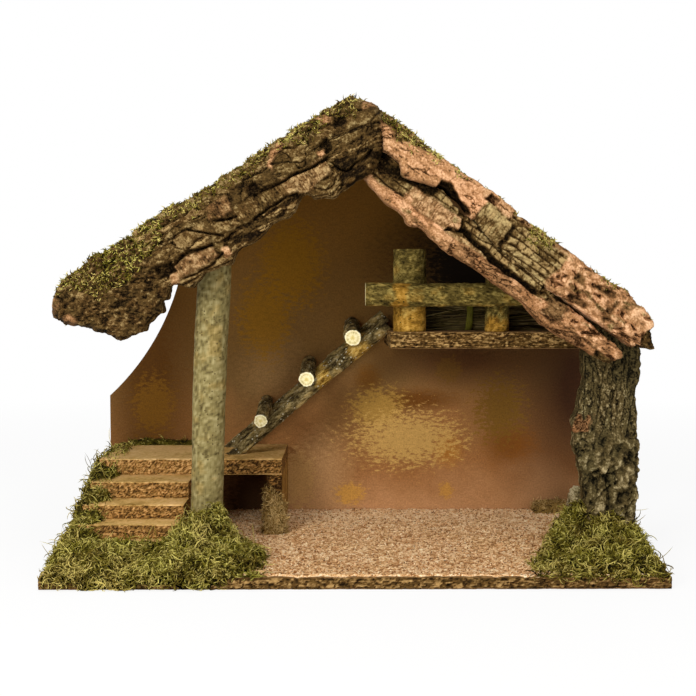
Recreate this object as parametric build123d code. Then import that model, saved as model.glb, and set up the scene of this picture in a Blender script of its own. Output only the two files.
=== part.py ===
from build123d import *
import math
import os

# Nativity stable of chipboard, hardboard, branches, cork bark and moss, in millimetres.
# +X is to the viewer's right, +Y to the back wall, +Z up, and the origin is under the middle of the base.

# Base, floor and back wall
BASE_WIDTH = 400.0
BASE_DEPTH = 196.0
BASE_THICK = 8.0
SAWDUST_THICK = 1.0
WALL_THICK = 4.0
WALL_RIGHT_INSET = 6.0
WALL_SHOULDER_HEIGHT = 104.0
WALL_SCOOP_REACH = 58.0
WALL_SCOOP_RISE = 96.0
WALL_SCOOP_SAG = 8.0

# Roof slopes, which meet over the middle of the base
RIDGE_HEIGHT = 309.0
LEFT_EAVE_HEIGHT = 193.5
RIGHT_EAVE_HEIGHT = 172.0
EAVE_INSET = 10.0
ROOF_THICK = 4.0
ROOF_SETBACK = 50.0
ROOF_MOSS_THICK = 6.5
ROOF_MOSS_LUMP_PITCH = 38.0
ROOF_MOSS_LUMP_RADIUS = 14.0
ROOF_MOSS_LUMP_RISE = 3.0
ROOF_MOSS_LUMP_SHIFT = 3.5
ROOF_MOSS_LUMP_SINK = 0.3

# Cork bark along the front edge of the roof
BARK_THICK = 20.0
BARK_LOWER_THICK = 14.0
BARK_RIM_DEPTH = 3.0
BARK_RIM_INSET = 2.5
BARK_CAP_DEPTH = 16.0
BARK_CAP_HEIGHT = 4.5
BARK_DROP = 40.0
BARK_KNOB_DROP = 46.0
BARK_EAVE_DROP = 50.0
BARK_LEFT_OVERSHOOT = 19.0
BARK_RIGHT_OVERSHOOT = 15.0
BARK_TIP_ROUND = 7.0
BARK_RELIEF_SIDE = 1.5
BARK_LEDGE_RISE = 4.0
BARK_GROOVE_WIDTH = 4.5
BARK_GROOVE_DEPTH = 3.5
BARK_END_RISE = 2.5
BARK_END_INSET = 7.5
BARK_FLAKE_RISE = 2.5
RIDGE_JOINT_X = 18.0
RIDGE_JOINT_LOW_X = 9.5
SEAM_DROP_RIDGE = 12.0
SEAM_DROP_EAVE = 21.0
SLIT_WIDTH = 6.0

# Ledge and furrows along the left slab: shares of the slope's length, and of the slab's drop
BARK_LEDGE = (
    (0.02, 0.35), (0.10, 0.42), (0.20, 0.50), (0.39, 0.40),
    (0.47, 0.55), (0.59, 0.66), (0.72, 0.65), (0.83, 0.55),
)
BARK_LEDGE_FURROWS = (
    ((0.12, 0.12), (0.24, 0.24), (0.36, 0.14)),
    ((0.44, 0.20), (0.60, 0.34), (0.80, 0.24)),
)
BARK_LOW_FURROWS = (
    ((0.22, 0.80), (0.40, 0.84), (0.53, 0.80)),
    ((0.86, 0.85), (0.94, 0.70), (1.00, 0.45)),
)

# Posts under the roof
POST_SETBACK = 66.0
LEFT_POST_GAP = 3.5
LEFT_POST_FOOT_DIAMETER = 22.0
LEFT_POST_TOP_DIAMETER = 23.4
LEFT_POST_LEAN = 2.0
RIGHT_POST_INSET = 3.0
RIGHT_POST_WIDTH = 40.0
RIGHT_POST_THICK = 24.0
RIGHT_POST_SETBACK = 62.0
RIGHT_POST_RIM = 2.0
RIGHT_POST_WAIST = 7.0
RIGHT_POST_KNOB = 5.0
RIGHT_POST_KNOB_HEIGHT = 84.0
RIGHT_POST_FURROW_WIDTH = 4.5
RIGHT_POST_FURROW_DEPTH = 3.0

# Furrows up the right post: shares of its width and of the eave's height, at the lower and upper end
RIGHT_POST_FURROWS = (
    ((0.45, 0.02), (0.50, 0.85)),
    ((0.80, 0.30), (0.74, 0.95)),
)

# Stair of stacked boards, from the lowest up
STAIR_INSET = 10.5
STAIR_SETBACK = 35.0
STEP_WIDTH = 70.5
STEP_1_THICK = 12.0
STEP_2_THICK = 10.0
STEP_3_THICK = 10.0
STEP_4_THICK = 12.0
LANDING_THICK = 12.0
STEP_1_GOING = 15.0
STEP_2_GOING = 17.0
STEP_3_GOING = 22.0
STEP_4_GOING = 28.0
LANDING_LENGTH = 136.0
SUPPORT_THICK = 11.5
SUPPORT_SETBACK = 2.0

# Hay loft with its posts, rail and bundle
LOFT_HEIGHT = 160.0
LOFT_THICK = 12.0
LOFT_LENGTH = 164.0
LOFT_RIGHT_INSET = 10.0
LOFT_POST_SETBACK = 14.0
LOFT_POST_LEFT_INSET = 14.4
LOFT_POST_LEFT_DIAMETER = 23.6
LOFT_POST_LEFT_HEIGHT = 59.0
LOFT_POST_PITCH = 63.0
LOFT_POST_RIGHT_DIAMETER = 17.2
LOFT_RAIL_DIAMETER = 16.4
LOFT_RAIL_HEIGHT = 26.6
LOFT_RAIL_OVERHANG = 20.6
LOFT_RAIL_NOTCH = 2.5
BUNDLE_LENGTH = 104.0
BUNDLE_DIAMETER = 30.0
BUNDLE_WAIST_DIAMETER = 25.0
BUNDLE_FLAT = 2.0
BUNDLE_GAP = 3.0
BUNDLE_START = 8.0
TIE_PLACE = 38.0
TIE_WIDTH = 5.0
TIE_THICK = 1.2

# Ladder from the landing to the loft
LADDER_FOOT_INSET = 36.5
LADDER_TOP_LIFT = 4.5
RAIL_FOOT_DIAMETER = 9.0
RAIL_TOP_DIAMETER = 11.2
RAIL_REAR_GAP = 16.0
RAIL_SPACING = 38.0
RUNG_COUNT = 3
RUNG_LENGTH = 61.0
RUNG_OVERHANG = 11.0
RUNG_TILT = 8.4
RUNG_TOP_DROP = 26.0
RUNG_FOOT_RISE = 33.48
RUNG_TOP_DIAMETER = 12.4
RUNG_TAPER = 1.2
RUNG_NOTCH = 1.0

# Moss clumps and the stone
MOSS_EDGE_INSET = 1.5
MOSS_LIP = 4.0
MOSS_FRONT_HEIGHT = 6.0
MOSS_STAIR_HEIGHT = 14.0
MOSS_POST_HEIGHT = 28.0
MOSS_TIP_HEIGHT = 3.0
MOSS_TIP_REACH = 44.0
MOSS_RIGHT_REACH = 46.0
MOSS_RIGHT_HEIGHT = 33.0
MOSS_RIGHT_END_HEIGHT = 22.0
MOSS_FLANK_RISE = 3.0
MOSS_NICHE_DEPTH = 9.0
MOSS_NICHE_WIDTH = 15.0
MOSS_STRIP_WIDTH = 10.0
MOSS_STRIP_HEIGHT = 8.0
MOSS_STRIP_LENGTH = 62.0
MOSS_BACK_LENGTH = 36.0
MOSS_BACK_HEIGHT = 11.0
STONE_SIZE = 19.0
STONE_HEIGHT = 21.5
STONE_INSET = 18.0
STONE_SIDE_INSET = 10.0

# Brads and nails
PIN_DIAMETER = 1.6
PIN_HEAD_DIAMETER = 3.0
PIN_HEAD_THICK = 1.0
PIN_LENGTH = 20.0
WALL_PIN_COUNT = 5
NAIL_DIAMETER = 2.5
NAIL_HEAD_DIAMETER = 5.0
NAIL_HEAD_THICK = 1.2
NAIL_LENGTH = 32.0

# Places worked out from the sizes above
HALF_WIDTH = BASE_WIDTH / 2
HALF_DEPTH = (BASE_DEPTH + WALL_THICK) / 2
FRONT = -HALF_DEPTH
BACK = HALF_DEPTH
WALL_FACE = BACK - WALL_THICK
FLOOR = BASE_THICK + SAWDUST_THICK
ROOF_FRONT = FRONT + ROOF_SETBACK
HALF_SPAN = HALF_WIDTH - EAVE_INSET
LEFT, RIGHT = -1, 1
PITCH = {
    LEFT: math.atan2(RIDGE_HEIGHT - LEFT_EAVE_HEIGHT, HALF_SPAN),
    RIGHT: math.atan2(RIDGE_HEIGHT - RIGHT_EAVE_HEIGHT, HALF_SPAN),
}
SLOPE_LENGTH = {side: HALF_SPAN / math.cos(pitch) for side, pitch in PITCH.items()}
STEP_LEFT = -HALF_WIDTH + STAIR_INSET
STEP_RIGHT = STEP_LEFT + STEP_WIDTH
LANDING_RIGHT = STEP_LEFT + LANDING_LENGTH
STEP_THICKS = (STEP_1_THICK, STEP_2_THICK, STEP_3_THICK, STEP_4_THICK)
STEP_GOINGS = (STEP_1_GOING, STEP_2_GOING, STEP_3_GOING, STEP_4_GOING)
LANDING_BOTTOM = BASE_THICK + sum(STEP_THICKS)
LANDING_TOP = LANDING_BOTTOM + LANDING_THICK
LANDING_FRONT = FRONT + STAIR_SETBACK + sum(STEP_GOINGS)
LEFT_POST_X = STEP_RIGHT + LEFT_POST_GAP + LEFT_POST_FOOT_DIAMETER / 2
LEFT_POST_Y = FRONT + POST_SETBACK
RIGHT_POST_EDGE = HALF_WIDTH - RIGHT_POST_INSET
RIGHT_POST_FRONT = FRONT + RIGHT_POST_SETBACK
RIGHT_POST_BACK = RIGHT_POST_FRONT + RIGHT_POST_THICK
LOFT_RIGHT = HALF_WIDTH - LOFT_RIGHT_INSET
LOFT_LEFT = LOFT_RIGHT - LOFT_LENGTH
LOFT_FRONT = RIGHT_POST_BACK
LOFT_POST_LEFT_X = LOFT_LEFT + LOFT_POST_LEFT_INSET
LOFT_POST_RIGHT_X = LOFT_POST_LEFT_X + LOFT_POST_PITCH
LOFT_POST_FACE = LOFT_FRONT + LOFT_POST_SETBACK - LOFT_POST_LEFT_DIAMETER / 2
OUTSIDE = 4 * BASE_WIDTH


def block(x0, x1, y0, y1, z0, z1):
    """Box between two opposite corners."""
    return Pos((x0 + x1) / 2, (y0 + y1) / 2, (z0 + z1) / 2) * Box(x1 - x0, y1 - y0, z1 - z0)


def polygon(points):
    """Flat face inside a closed run of 3-D points."""
    return Face(Wire.make_polygon([Vector(*point) for point in points], close=True))


def prism_y(outline, y0, y1):
    """Outline of (x, z) points carried from y0 to y1."""
    return Solid.extrude(polygon([(x, y0, z) for x, z in outline]), Vector(0, y1 - y0, 0))


def prism_x(outline, x0, x1):
    """Outline of (y, z) points carried from x0 to x1."""
    return Solid.extrude(polygon([(x0, y, z) for y, z in outline]), Vector(x1 - x0, 0, 0))


def inset_outline(outline, distance):
    """Move every side of a clockwise (x, z) outline inwards and meet the moved sides again."""
    moved = []
    for before, here, after in zip(outline[-1:] + outline[:-1], outline, outline[1:] + outline[:1]):
        a = (here[0] - before[0], here[1] - before[1])
        b = (after[0] - here[0], after[1] - here[1])
        la, lb = math.hypot(*a), math.hypot(*b)
        na = (a[1] / la, -a[0] / la)
        nb = (b[1] / lb, -b[0] / lb)
        reach = distance / (1 + na[0] * nb[0] + na[1] * nb[1])
        moved.append((here[0] + (na[0] + nb[0]) * reach, here[1] + (na[1] + nb[1]) * reach))
    return moved


def slab(outline, layers):
    """Bark slab: the outline at each (y, inset) layer, joined by straight sides."""
    faces = []
    for y, inset in layers:
        faces.append(polygon([(x, y, z) for x, z in inset_outline(outline, inset)]))
    return loft(faces, ruled=True)


def log(start, end, start_diameter, end_diameter):
    """Tapered round branch between two points."""
    direction = Vector(*end) - Vector(*start)
    ends = []
    for point, diameter in ((start, start_diameter), (end, end_diameter)):
        ends.append(Plane(origin=point, z_dir=direction) * Circle(diameter / 2))
    return loft(ends, ruled=True)


def mound(stations):
    """Moss clump: (y, z) outlines at stations along X, joined by straight sides."""
    return loft([polygon([(x, y, z) for y, z in outline]) for x, outline in stations], ruled=True)


def fastener(head, direction, diameter, head_diameter, head_thick, length):
    """Nail with a flat head: head is the middle of the head's outer face."""
    seat = Plane(origin=head, z_dir=direction)
    from_head = (Align.CENTER, Align.CENTER, Align.MIN)
    shank = seat * Cylinder(diameter / 2, length, align=from_head)
    return shank + seat * Cylinder(head_diameter / 2, head_thick, align=from_head)


def pin(head, direction):
    """Thin brad of the boards."""
    return fastener(head, direction, PIN_DIAMETER, PIN_HEAD_DIAMETER, PIN_HEAD_THICK, PIN_LENGTH)


def nail(head, direction):
    """Thick nail of the posts."""
    return fastener(head, direction, NAIL_DIAMETER, NAIL_HEAD_DIAMETER, NAIL_HEAD_THICK, NAIL_LENGTH)


def on_slope(side, along, above):
    """(x, z) of a point on a roof slope, measured from the ridge and from the panel's top face."""
    pitch = PITCH[side]
    x = side * (along * math.cos(pitch) + above * math.sin(pitch))
    z = RIDGE_HEIGHT - along * math.sin(pitch) + above * math.cos(pitch)
    return x, z


def roof_line(side, x, above):
    """Height of a line parallel to a slope, that far above its top face, over a given x."""
    pitch = PITCH[side]
    return RIDGE_HEIGHT - side * x * math.tan(pitch) + above / math.cos(pitch)


def below_roof(above):
    """Outline of everything below a line parallel to both slopes."""
    outline = [
        (-OUTSIDE, -OUTSIDE),
        (-OUTSIDE, roof_line(LEFT, -OUTSIDE, above)),
        (0, roof_line(LEFT, 0, above)),
    ]
    if not math.isclose(roof_line(LEFT, 0, above), roof_line(RIGHT, 0, above)):
        outline.append((0, roof_line(RIGHT, 0, above)))
    return outline + [(OUTSIDE, roof_line(RIGHT, OUTSIDE, above)), (OUTSIDE, -OUTSIDE)]


UNDER_ROOF = prism_y(below_roof(-ROOF_THICK), -OUTSIDE, OUTSIDE)
STANDING_ROOM = UNDER_ROOF & block(-OUTSIDE, OUTSIDE, -OUTSIDE, OUTSIDE, BASE_THICK, OUTSIDE)


def make_wall():
    """Hardboard wall: gable under the roof, with the left shoulder scooped out by an arc."""
    shoulder = (-HALF_WIDTH, BACK, WALL_SHOULDER_HEIGHT)
    scoop_top = (-HALF_WIDTH + WALL_SCOOP_REACH, BACK, WALL_SHOULDER_HEIGHT + WALL_SCOOP_RISE)
    over = RIDGE_HEIGHT + ROOF_THICK
    right = HALF_WIDTH - WALL_RIGHT_INSET
    corner = (-HALF_WIDTH, BACK, 0)
    edge = [
        Line(corner, shoulder),
        wall_scoop(shoulder, scoop_top),
        Polyline(scoop_top, (scoop_top[0], BACK, over), (right, BACK, over), (right, BACK, 0), corner),
    ]
    board = Solid.extrude(Face(Wire.combine(ShapeList(edge).edges())[0]), Vector(0, -WALL_THICK, 0))
    return board & UNDER_ROOF


def wall_scoop(start, end):
    """Arc between two points of the wall's edge that sags into the wall."""
    middle = [(a + b) / 2 for a, b in zip(start, end)]
    run, rise = end[0] - start[0], end[2] - start[2]
    chord = math.hypot(run, rise)
    bottom = (middle[0] + WALL_SCOOP_SAG * rise / chord, BACK, middle[2] - WALL_SCOOP_SAG * run / chord)
    return ThreePointArc(start, bottom, end)


def make_roof_panel(side):
    """Hardboard slope from the bark at the front to the back of the wall, mitred at the ridge."""
    outline = [
        (0, RIDGE_HEIGHT),
        on_slope(side, SLOPE_LENGTH[side], 0),
        on_slope(side, SLOPE_LENGTH[side], -ROOF_THICK),
        (0, roof_line(side, 0, -ROOF_THICK)),
    ]
    return prism_y(outline, ROOF_FRONT, BACK)


def make_roof_moss(side):
    """Moss mat on a slope, behind the bark's cap, with rows of low round lumps."""
    outline = [
        (0, roof_line(side, 0, ROOF_MOSS_THICK)),
        on_slope(side, SLOPE_LENGTH[side], ROOF_MOSS_THICK),
        on_slope(side, SLOPE_LENGTH[side], 0),
        (0, RIDGE_HEIGHT),
    ]
    front = ROOF_FRONT + BARK_CAP_DEPTH
    mat = prism_y(outline, front, BACK)
    radius = (ROOF_MOSS_LUMP_RADIUS**2 + ROOF_MOSS_LUMP_RISE**2) / (2 * ROOF_MOSS_LUMP_RISE)
    middle = ROOF_MOSS_THICK + ROOF_MOSS_LUMP_RISE - radius
    edge = math.degrees(math.asin(1 - (ROOF_MOSS_LUMP_RISE + ROOF_MOSS_LUMP_SINK) / radius))
    outward = (side * math.sin(PITCH[side]), 0, math.cos(PITCH[side]))
    columns = round(SLOPE_LENGTH[side] / ROOF_MOSS_LUMP_PITCH)
    rows = round((BACK - front) / ROOF_MOSS_LUMP_PITCH)
    for column in range(columns):
        for row in range(rows):
            shift = ROOF_MOSS_LUMP_SHIFT if row % 2 else -ROOF_MOSS_LUMP_SHIFT
            x, z = on_slope(side, (column + 0.5) * SLOPE_LENGTH[side] / columns + shift, middle)
            y = front + (row + 0.5) * (BACK - front) / rows
            mat = mat + Plane(origin=(x, y, z), z_dir=outward) * Sphere(radius, edge, align=None)
    return mat


def make_bark(outline, thick):
    """Cork slab against the front edge of a roof panel, with the cap that lies over the panel."""
    front = ROOF_FRONT - thick
    slab_part = slab(outline, [(ROOF_FRONT, 0), (front + BARK_RIM_DEPTH, 0), (front, BARK_RIM_INSET)])
    cap = prism_y(outline, ROOF_FRONT, ROOF_FRONT + BARK_CAP_DEPTH)
    cap = cap - prism_y(below_roof(0), -OUTSIDE, OUTSIDE)
    return slab_part + cap


def raised(outline, thick, rise):
    """Part of a slab's front that stands out from it, with sloping sides."""
    front = ROOF_FRONT - thick
    return slab(outline, [(front + rise, 0), (front, 0), (front - rise, BARK_RELIEF_SIDE)])


def furrow(line, front):
    """Groove along (x, z) points in a front face at y, as wide and as deep as the bark's grooves."""
    lower = [(x, z - BARK_GROOVE_WIDTH) for x, z in line]
    return prism_y(lower + list(reversed(line)), front - BARK_GROOVE_DEPTH, front + BARK_GROOVE_DEPTH)


def ridge_joint():
    """(x, z) points where the left slab ends against the two right slabs, from the top down."""
    top = (RIDGE_JOINT_X, roof_line(RIGHT, RIDGE_JOINT_X, BARK_CAP_HEIGHT))
    seam = (RIDGE_JOINT_X, roof_line(RIGHT, RIDGE_JOINT_X, -SEAM_DROP_RIDGE))
    low = (RIDGE_JOINT_LOW_X, roof_line(RIGHT, RIDGE_JOINT_LOW_X, -BARK_DROP))
    return top, seam, low


def right_seam():
    """(x, z) points between the two right slabs, from the ridge joint down to the eave."""
    length = SLOPE_LENGTH[RIGHT]
    near = on_slope(RIGHT, 0.30 * length, -SEAM_DROP_RIDGE)
    middle = on_slope(RIGHT, 0.62 * length, -SEAM_DROP_EAVE)
    far = on_slope(RIGHT, length + 0.5 * BARK_RIGHT_OVERSHOOT, -SEAM_DROP_EAVE)
    return ridge_joint()[1], near, middle, far


def make_bark_left():
    """Long left slab: over the ridge, down the slope, with knobs along its lower edge."""
    length = SLOPE_LENGTH[LEFT]
    tip = length + BARK_LEFT_OVERSHOOT
    top, seam, low = ridge_joint()
    outline = [
        low,
        on_slope(LEFT, 0.10 * length, -BARK_KNOB_DROP),
        on_slope(LEFT, 0.20 * length, -BARK_DROP),
        on_slope(LEFT, 0.48 * length, -BARK_DROP),
        on_slope(LEFT, 0.57 * length, -BARK_KNOB_DROP),
        on_slope(LEFT, 0.80 * length, -BARK_DROP),
        on_slope(LEFT, 0.87 * length, -BARK_EAVE_DROP),
        on_slope(LEFT, 0.96 * length, -BARK_EAVE_DROP),
        on_slope(LEFT, tip - BARK_TIP_ROUND, -0.6 * BARK_EAVE_DROP),
        on_slope(LEFT, tip, -0.32 * BARK_EAVE_DROP),
        on_slope(LEFT, tip - BARK_TIP_ROUND, -0.09 * BARK_EAVE_DROP),
        on_slope(LEFT, length, BARK_CAP_HEIGHT),
        (0, roof_line(LEFT, 0, BARK_CAP_HEIGHT)),
        top,
        seam,
    ]
    upper = BARK_CAP_HEIGHT - BARK_RIM_INSET - BARK_RELIEF_SIDE
    line = [(share * length, -drop * BARK_DROP) for share, drop in BARK_LEDGE]
    ledge = [on_slope(LEFT, along, above) for along, above in line]
    ledge += [on_slope(LEFT, line[-1][0], upper), on_slope(LEFT, line[0][0], upper)]
    under = [on_slope(LEFT, along, above - BARK_RELIEF_SIDE) for along, above in line[2:-1]]
    end = [
        on_slope(LEFT, 0.10 * length, BARK_END_INSET - BARK_KNOB_DROP),
        on_slope(LEFT, 0.15 * length, BARK_END_INSET - BARK_DROP),
        on_slope(LEFT, 0.15 * length, -0.55 * BARK_DROP),
        on_slope(LEFT, 0.01 * length, -0.45 * BARK_DROP),
    ]
    front = ROOF_FRONT - BARK_THICK
    bark = make_bark(outline, BARK_THICK) - furrow(under, front)
    bark = bark + raised(ledge, BARK_THICK, BARK_LEDGE_RISE) + raised(end, BARK_THICK, BARK_END_RISE)
    for furrows, face in ((BARK_LEDGE_FURROWS, front - BARK_LEDGE_RISE), (BARK_LOW_FURROWS, front)):
        for shares in furrows:
            line = [on_slope(LEFT, share * length, -drop * BARK_DROP) for share, drop in shares]
            bark = bark - furrow(line, face)
    return bark


def make_bark_right_upper():
    """Upper right slab, between the moss and the seam."""
    length = SLOPE_LENGTH[RIGHT]
    tip = length + BARK_RIGHT_OVERSHOOT
    outline = [
        ridge_joint()[0],
        on_slope(RIGHT, length, BARK_CAP_HEIGHT),
        on_slope(RIGHT, tip - BARK_TIP_ROUND, 0),
        on_slope(RIGHT, tip, -0.4 * SEAM_DROP_EAVE),
    ]
    upper = BARK_CAP_HEIGHT - BARK_RIM_INSET - BARK_RELIEF_SIDE
    lower = BARK_RIM_INSET + BARK_RELIEF_SIDE - SEAM_DROP_RIDGE
    flake = [
        on_slope(RIGHT, 0.14 * length, upper),
        on_slope(RIGHT, 0.46 * length, upper),
        on_slope(RIGHT, 0.43 * length, lower - BARK_RELIEF_SIDE),
        on_slope(RIGHT, 0.14 * length, lower),
    ]
    bark = make_bark(outline + list(reversed(right_seam())), BARK_THICK)
    return bark + raised(flake, BARK_THICK, BARK_FLAKE_RISE)


def make_bark_right_lower():
    """Lower right slab, under the seam and a little behind the upper one, ending in a narrow tongue."""
    length = SLOPE_LENGTH[RIGHT]
    tip = length + 0.35 * BARK_RIGHT_OVERSHOOT
    outline = list(right_seam())[:-1] + [
        on_slope(RIGHT, 0.85 * length, -SEAM_DROP_EAVE - 0.35 * SLIT_WIDTH),
        on_slope(RIGHT, tip, -SEAM_DROP_EAVE - SLIT_WIDTH),
        on_slope(RIGHT, tip, -0.92 * BARK_DROP),
        on_slope(RIGHT, 0.94 * length, -1.04 * BARK_DROP),
        on_slope(RIGHT, 0.40 * length, -BARK_DROP),
        ridge_joint()[2],
    ]
    return make_bark(outline, BARK_LOWER_THICK)


def make_left_post():
    """Leaning branch from the base to the roof."""
    height = RIDGE_HEIGHT
    lean = height * math.tan(math.radians(LEFT_POST_LEAN))
    foot = (LEFT_POST_X, LEFT_POST_Y, 0)
    top = (LEFT_POST_X + lean, LEFT_POST_Y, height)
    return log(foot, top, LEFT_POST_FOOT_DIAMETER, LEFT_POST_TOP_DIAMETER) & STANDING_ROOM


def make_right_post():
    """Upright cork slab with a narrow foot and a knob on its inner edge."""
    inner = RIGHT_POST_EDGE - RIGHT_POST_WIDTH
    knob = BASE_THICK + RIGHT_POST_KNOB_HEIGHT
    outline = [
        (inner + RIGHT_POST_WAIST, -RIGHT_POST_WIDTH),
        (inner + RIGHT_POST_WAIST, BASE_THICK + 0.4 * RIGHT_POST_KNOB_HEIGHT),
        (inner, knob - 0.2 * RIGHT_POST_KNOB_HEIGHT),
        (inner - RIGHT_POST_KNOB, knob),
        (inner - RIGHT_POST_KNOB, knob + 0.25 * RIGHT_POST_KNOB_HEIGHT),
        (inner + 1, knob + 0.5 * RIGHT_POST_KNOB_HEIGHT),
        (inner, RIDGE_HEIGHT),
        (RIGHT_POST_EDGE, RIDGE_HEIGHT),
        (RIGHT_POST_EDGE, -RIGHT_POST_WIDTH),
    ]
    layers = [
        (RIGHT_POST_BACK, RIGHT_POST_RIM),
        (RIGHT_POST_BACK - RIGHT_POST_RIM, 0),
        (RIGHT_POST_FRONT + RIGHT_POST_RIM, 0),
        (RIGHT_POST_FRONT, RIGHT_POST_RIM),
    ]
    post = slab(outline, layers)
    tall = RIGHT_EAVE_HEIGHT - BASE_THICK
    half = RIGHT_POST_FURROW_WIDTH / 2
    depth = RIGHT_POST_FURROW_DEPTH
    for shares in RIGHT_POST_FURROWS:
        line = [(inner + across * RIGHT_POST_WIDTH, BASE_THICK + up * tall) for across, up in shares]
        sides = [(x - half, z) for x, z in line] + [(x + half, z) for x, z in reversed(line)]
        post = post - prism_y(sides, RIGHT_POST_FRONT - depth, RIGHT_POST_FRONT + depth)
    return post & STANDING_ROOM


def make_steps():
    """Stacked boards of the stair, each set back behind the one below, all running to the wall."""
    boards = {}
    front = FRONT + STAIR_SETBACK
    bottom = BASE_THICK
    for number, (thick, going) in enumerate(zip(STEP_THICKS, STEP_GOINGS), start=1):
        boards[f"step_{number}"] = block(STEP_LEFT, STEP_RIGHT, front, WALL_FACE, bottom, bottom + thick)
        front += going
        bottom += thick
    top = bottom + LANDING_THICK
    boards["landing_board"] = block(STEP_LEFT, LANDING_RIGHT, front, WALL_FACE, bottom, top)
    return boards


def make_support():
    """Upright board between the base and the right end of the landing."""
    front = LANDING_FRONT + SUPPORT_SETBACK
    return block(LANDING_RIGHT - SUPPORT_THICK, LANDING_RIGHT, front, WALL_FACE, BASE_THICK, LANDING_BOTTOM)


def make_loft():
    """Loft board between the right post and the wall, with two posts and a rail across them."""
    top = LOFT_HEIGHT
    board = block(LOFT_LEFT, LOFT_RIGHT, LOFT_FRONT, WALL_FACE, top - LOFT_THICK, top)
    rail_y = LOFT_POST_FACE - LOFT_RAIL_DIAMETER / 2 + LOFT_RAIL_NOTCH
    rail_z = top + LOFT_RAIL_HEIGHT
    rail_left = LOFT_POST_LEFT_X - LOFT_POST_LEFT_DIAMETER / 2 - LOFT_RAIL_OVERHANG
    rail_right = LOFT_POST_RIGHT_X + LOFT_POST_RIGHT_DIAMETER / 2 + LOFT_RAIL_OVERHANG
    rail_ends = (rail_left, rail_y, rail_z), (rail_right, rail_y, rail_z)
    rail = log(*rail_ends, LOFT_RAIL_DIAMETER, LOFT_RAIL_DIAMETER) & UNDER_ROOF
    left_y = LOFT_POST_FACE + LOFT_POST_LEFT_DIAMETER / 2
    right_y = LOFT_POST_FACE + LOFT_POST_RIGHT_DIAMETER / 2
    left_ends = (LOFT_POST_LEFT_X, left_y, top), (LOFT_POST_LEFT_X, left_y, top + LOFT_POST_LEFT_HEIGHT)
    right_ends = (LOFT_POST_RIGHT_X, right_y, top), (LOFT_POST_RIGHT_X, right_y, RIDGE_HEIGHT)
    left_post = log(*left_ends, LOFT_POST_LEFT_DIAMETER, LOFT_POST_LEFT_DIAMETER)
    right_post = log(*right_ends, LOFT_POST_RIGHT_DIAMETER, LOFT_POST_RIGHT_DIAMETER)
    return {
        "loft_board": board & UNDER_ROOF,
        "loft_post_left": (left_post & UNDER_ROOF) - rail,
        "loft_post_right": (right_post & UNDER_ROOF) - rail,
        "loft_rail": rail,
    }


def make_bundle():
    """Brushwood bundle on the loft: two cones that narrow to the band, flat where it lies."""
    start = LOFT_POST_LEFT_X + BUNDLE_START
    waist = start + TIE_PLACE
    middle_y = LOFT_POST_FACE + LOFT_POST_LEFT_DIAMETER + BUNDLE_GAP + BUNDLE_DIAMETER / 2
    middle_z = LOFT_HEIGHT + BUNDLE_WAIST_DIAMETER / 2 - BUNDLE_FLAT
    places = (
        (start, BUNDLE_DIAMETER),
        (waist - TIE_WIDTH, BUNDLE_WAIST_DIAMETER),
        (waist + TIE_WIDTH, BUNDLE_WAIST_DIAMETER),
        (start + BUNDLE_LENGTH, BUNDLE_DIAMETER),
    )
    rings = []
    for x, diameter in places:
        rings.append(Plane(origin=(x, middle_y, middle_z), z_dir=(1, 0, 0)) * Circle(diameter / 2))
    band_plane = Plane(origin=(waist, middle_y, middle_z), z_dir=(1, 0, 0))
    outer = band_plane * Cylinder(BUNDLE_WAIST_DIAMETER / 2 + TIE_THICK / 2, TIE_WIDTH)
    inner = band_plane * Cylinder(BUNDLE_WAIST_DIAMETER / 2 - TIE_THICK / 2, TIE_WIDTH)
    above_loft = UNDER_ROOF & block(-OUTSIDE, OUTSIDE, -OUTSIDE, OUTSIDE, LOFT_HEIGHT, OUTSIDE)
    band = (outer - inner) & above_loft
    return {"hay_bundle": (loft(rings, ruled=True) & above_loft) - band, "bundle_tie": band}


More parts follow.
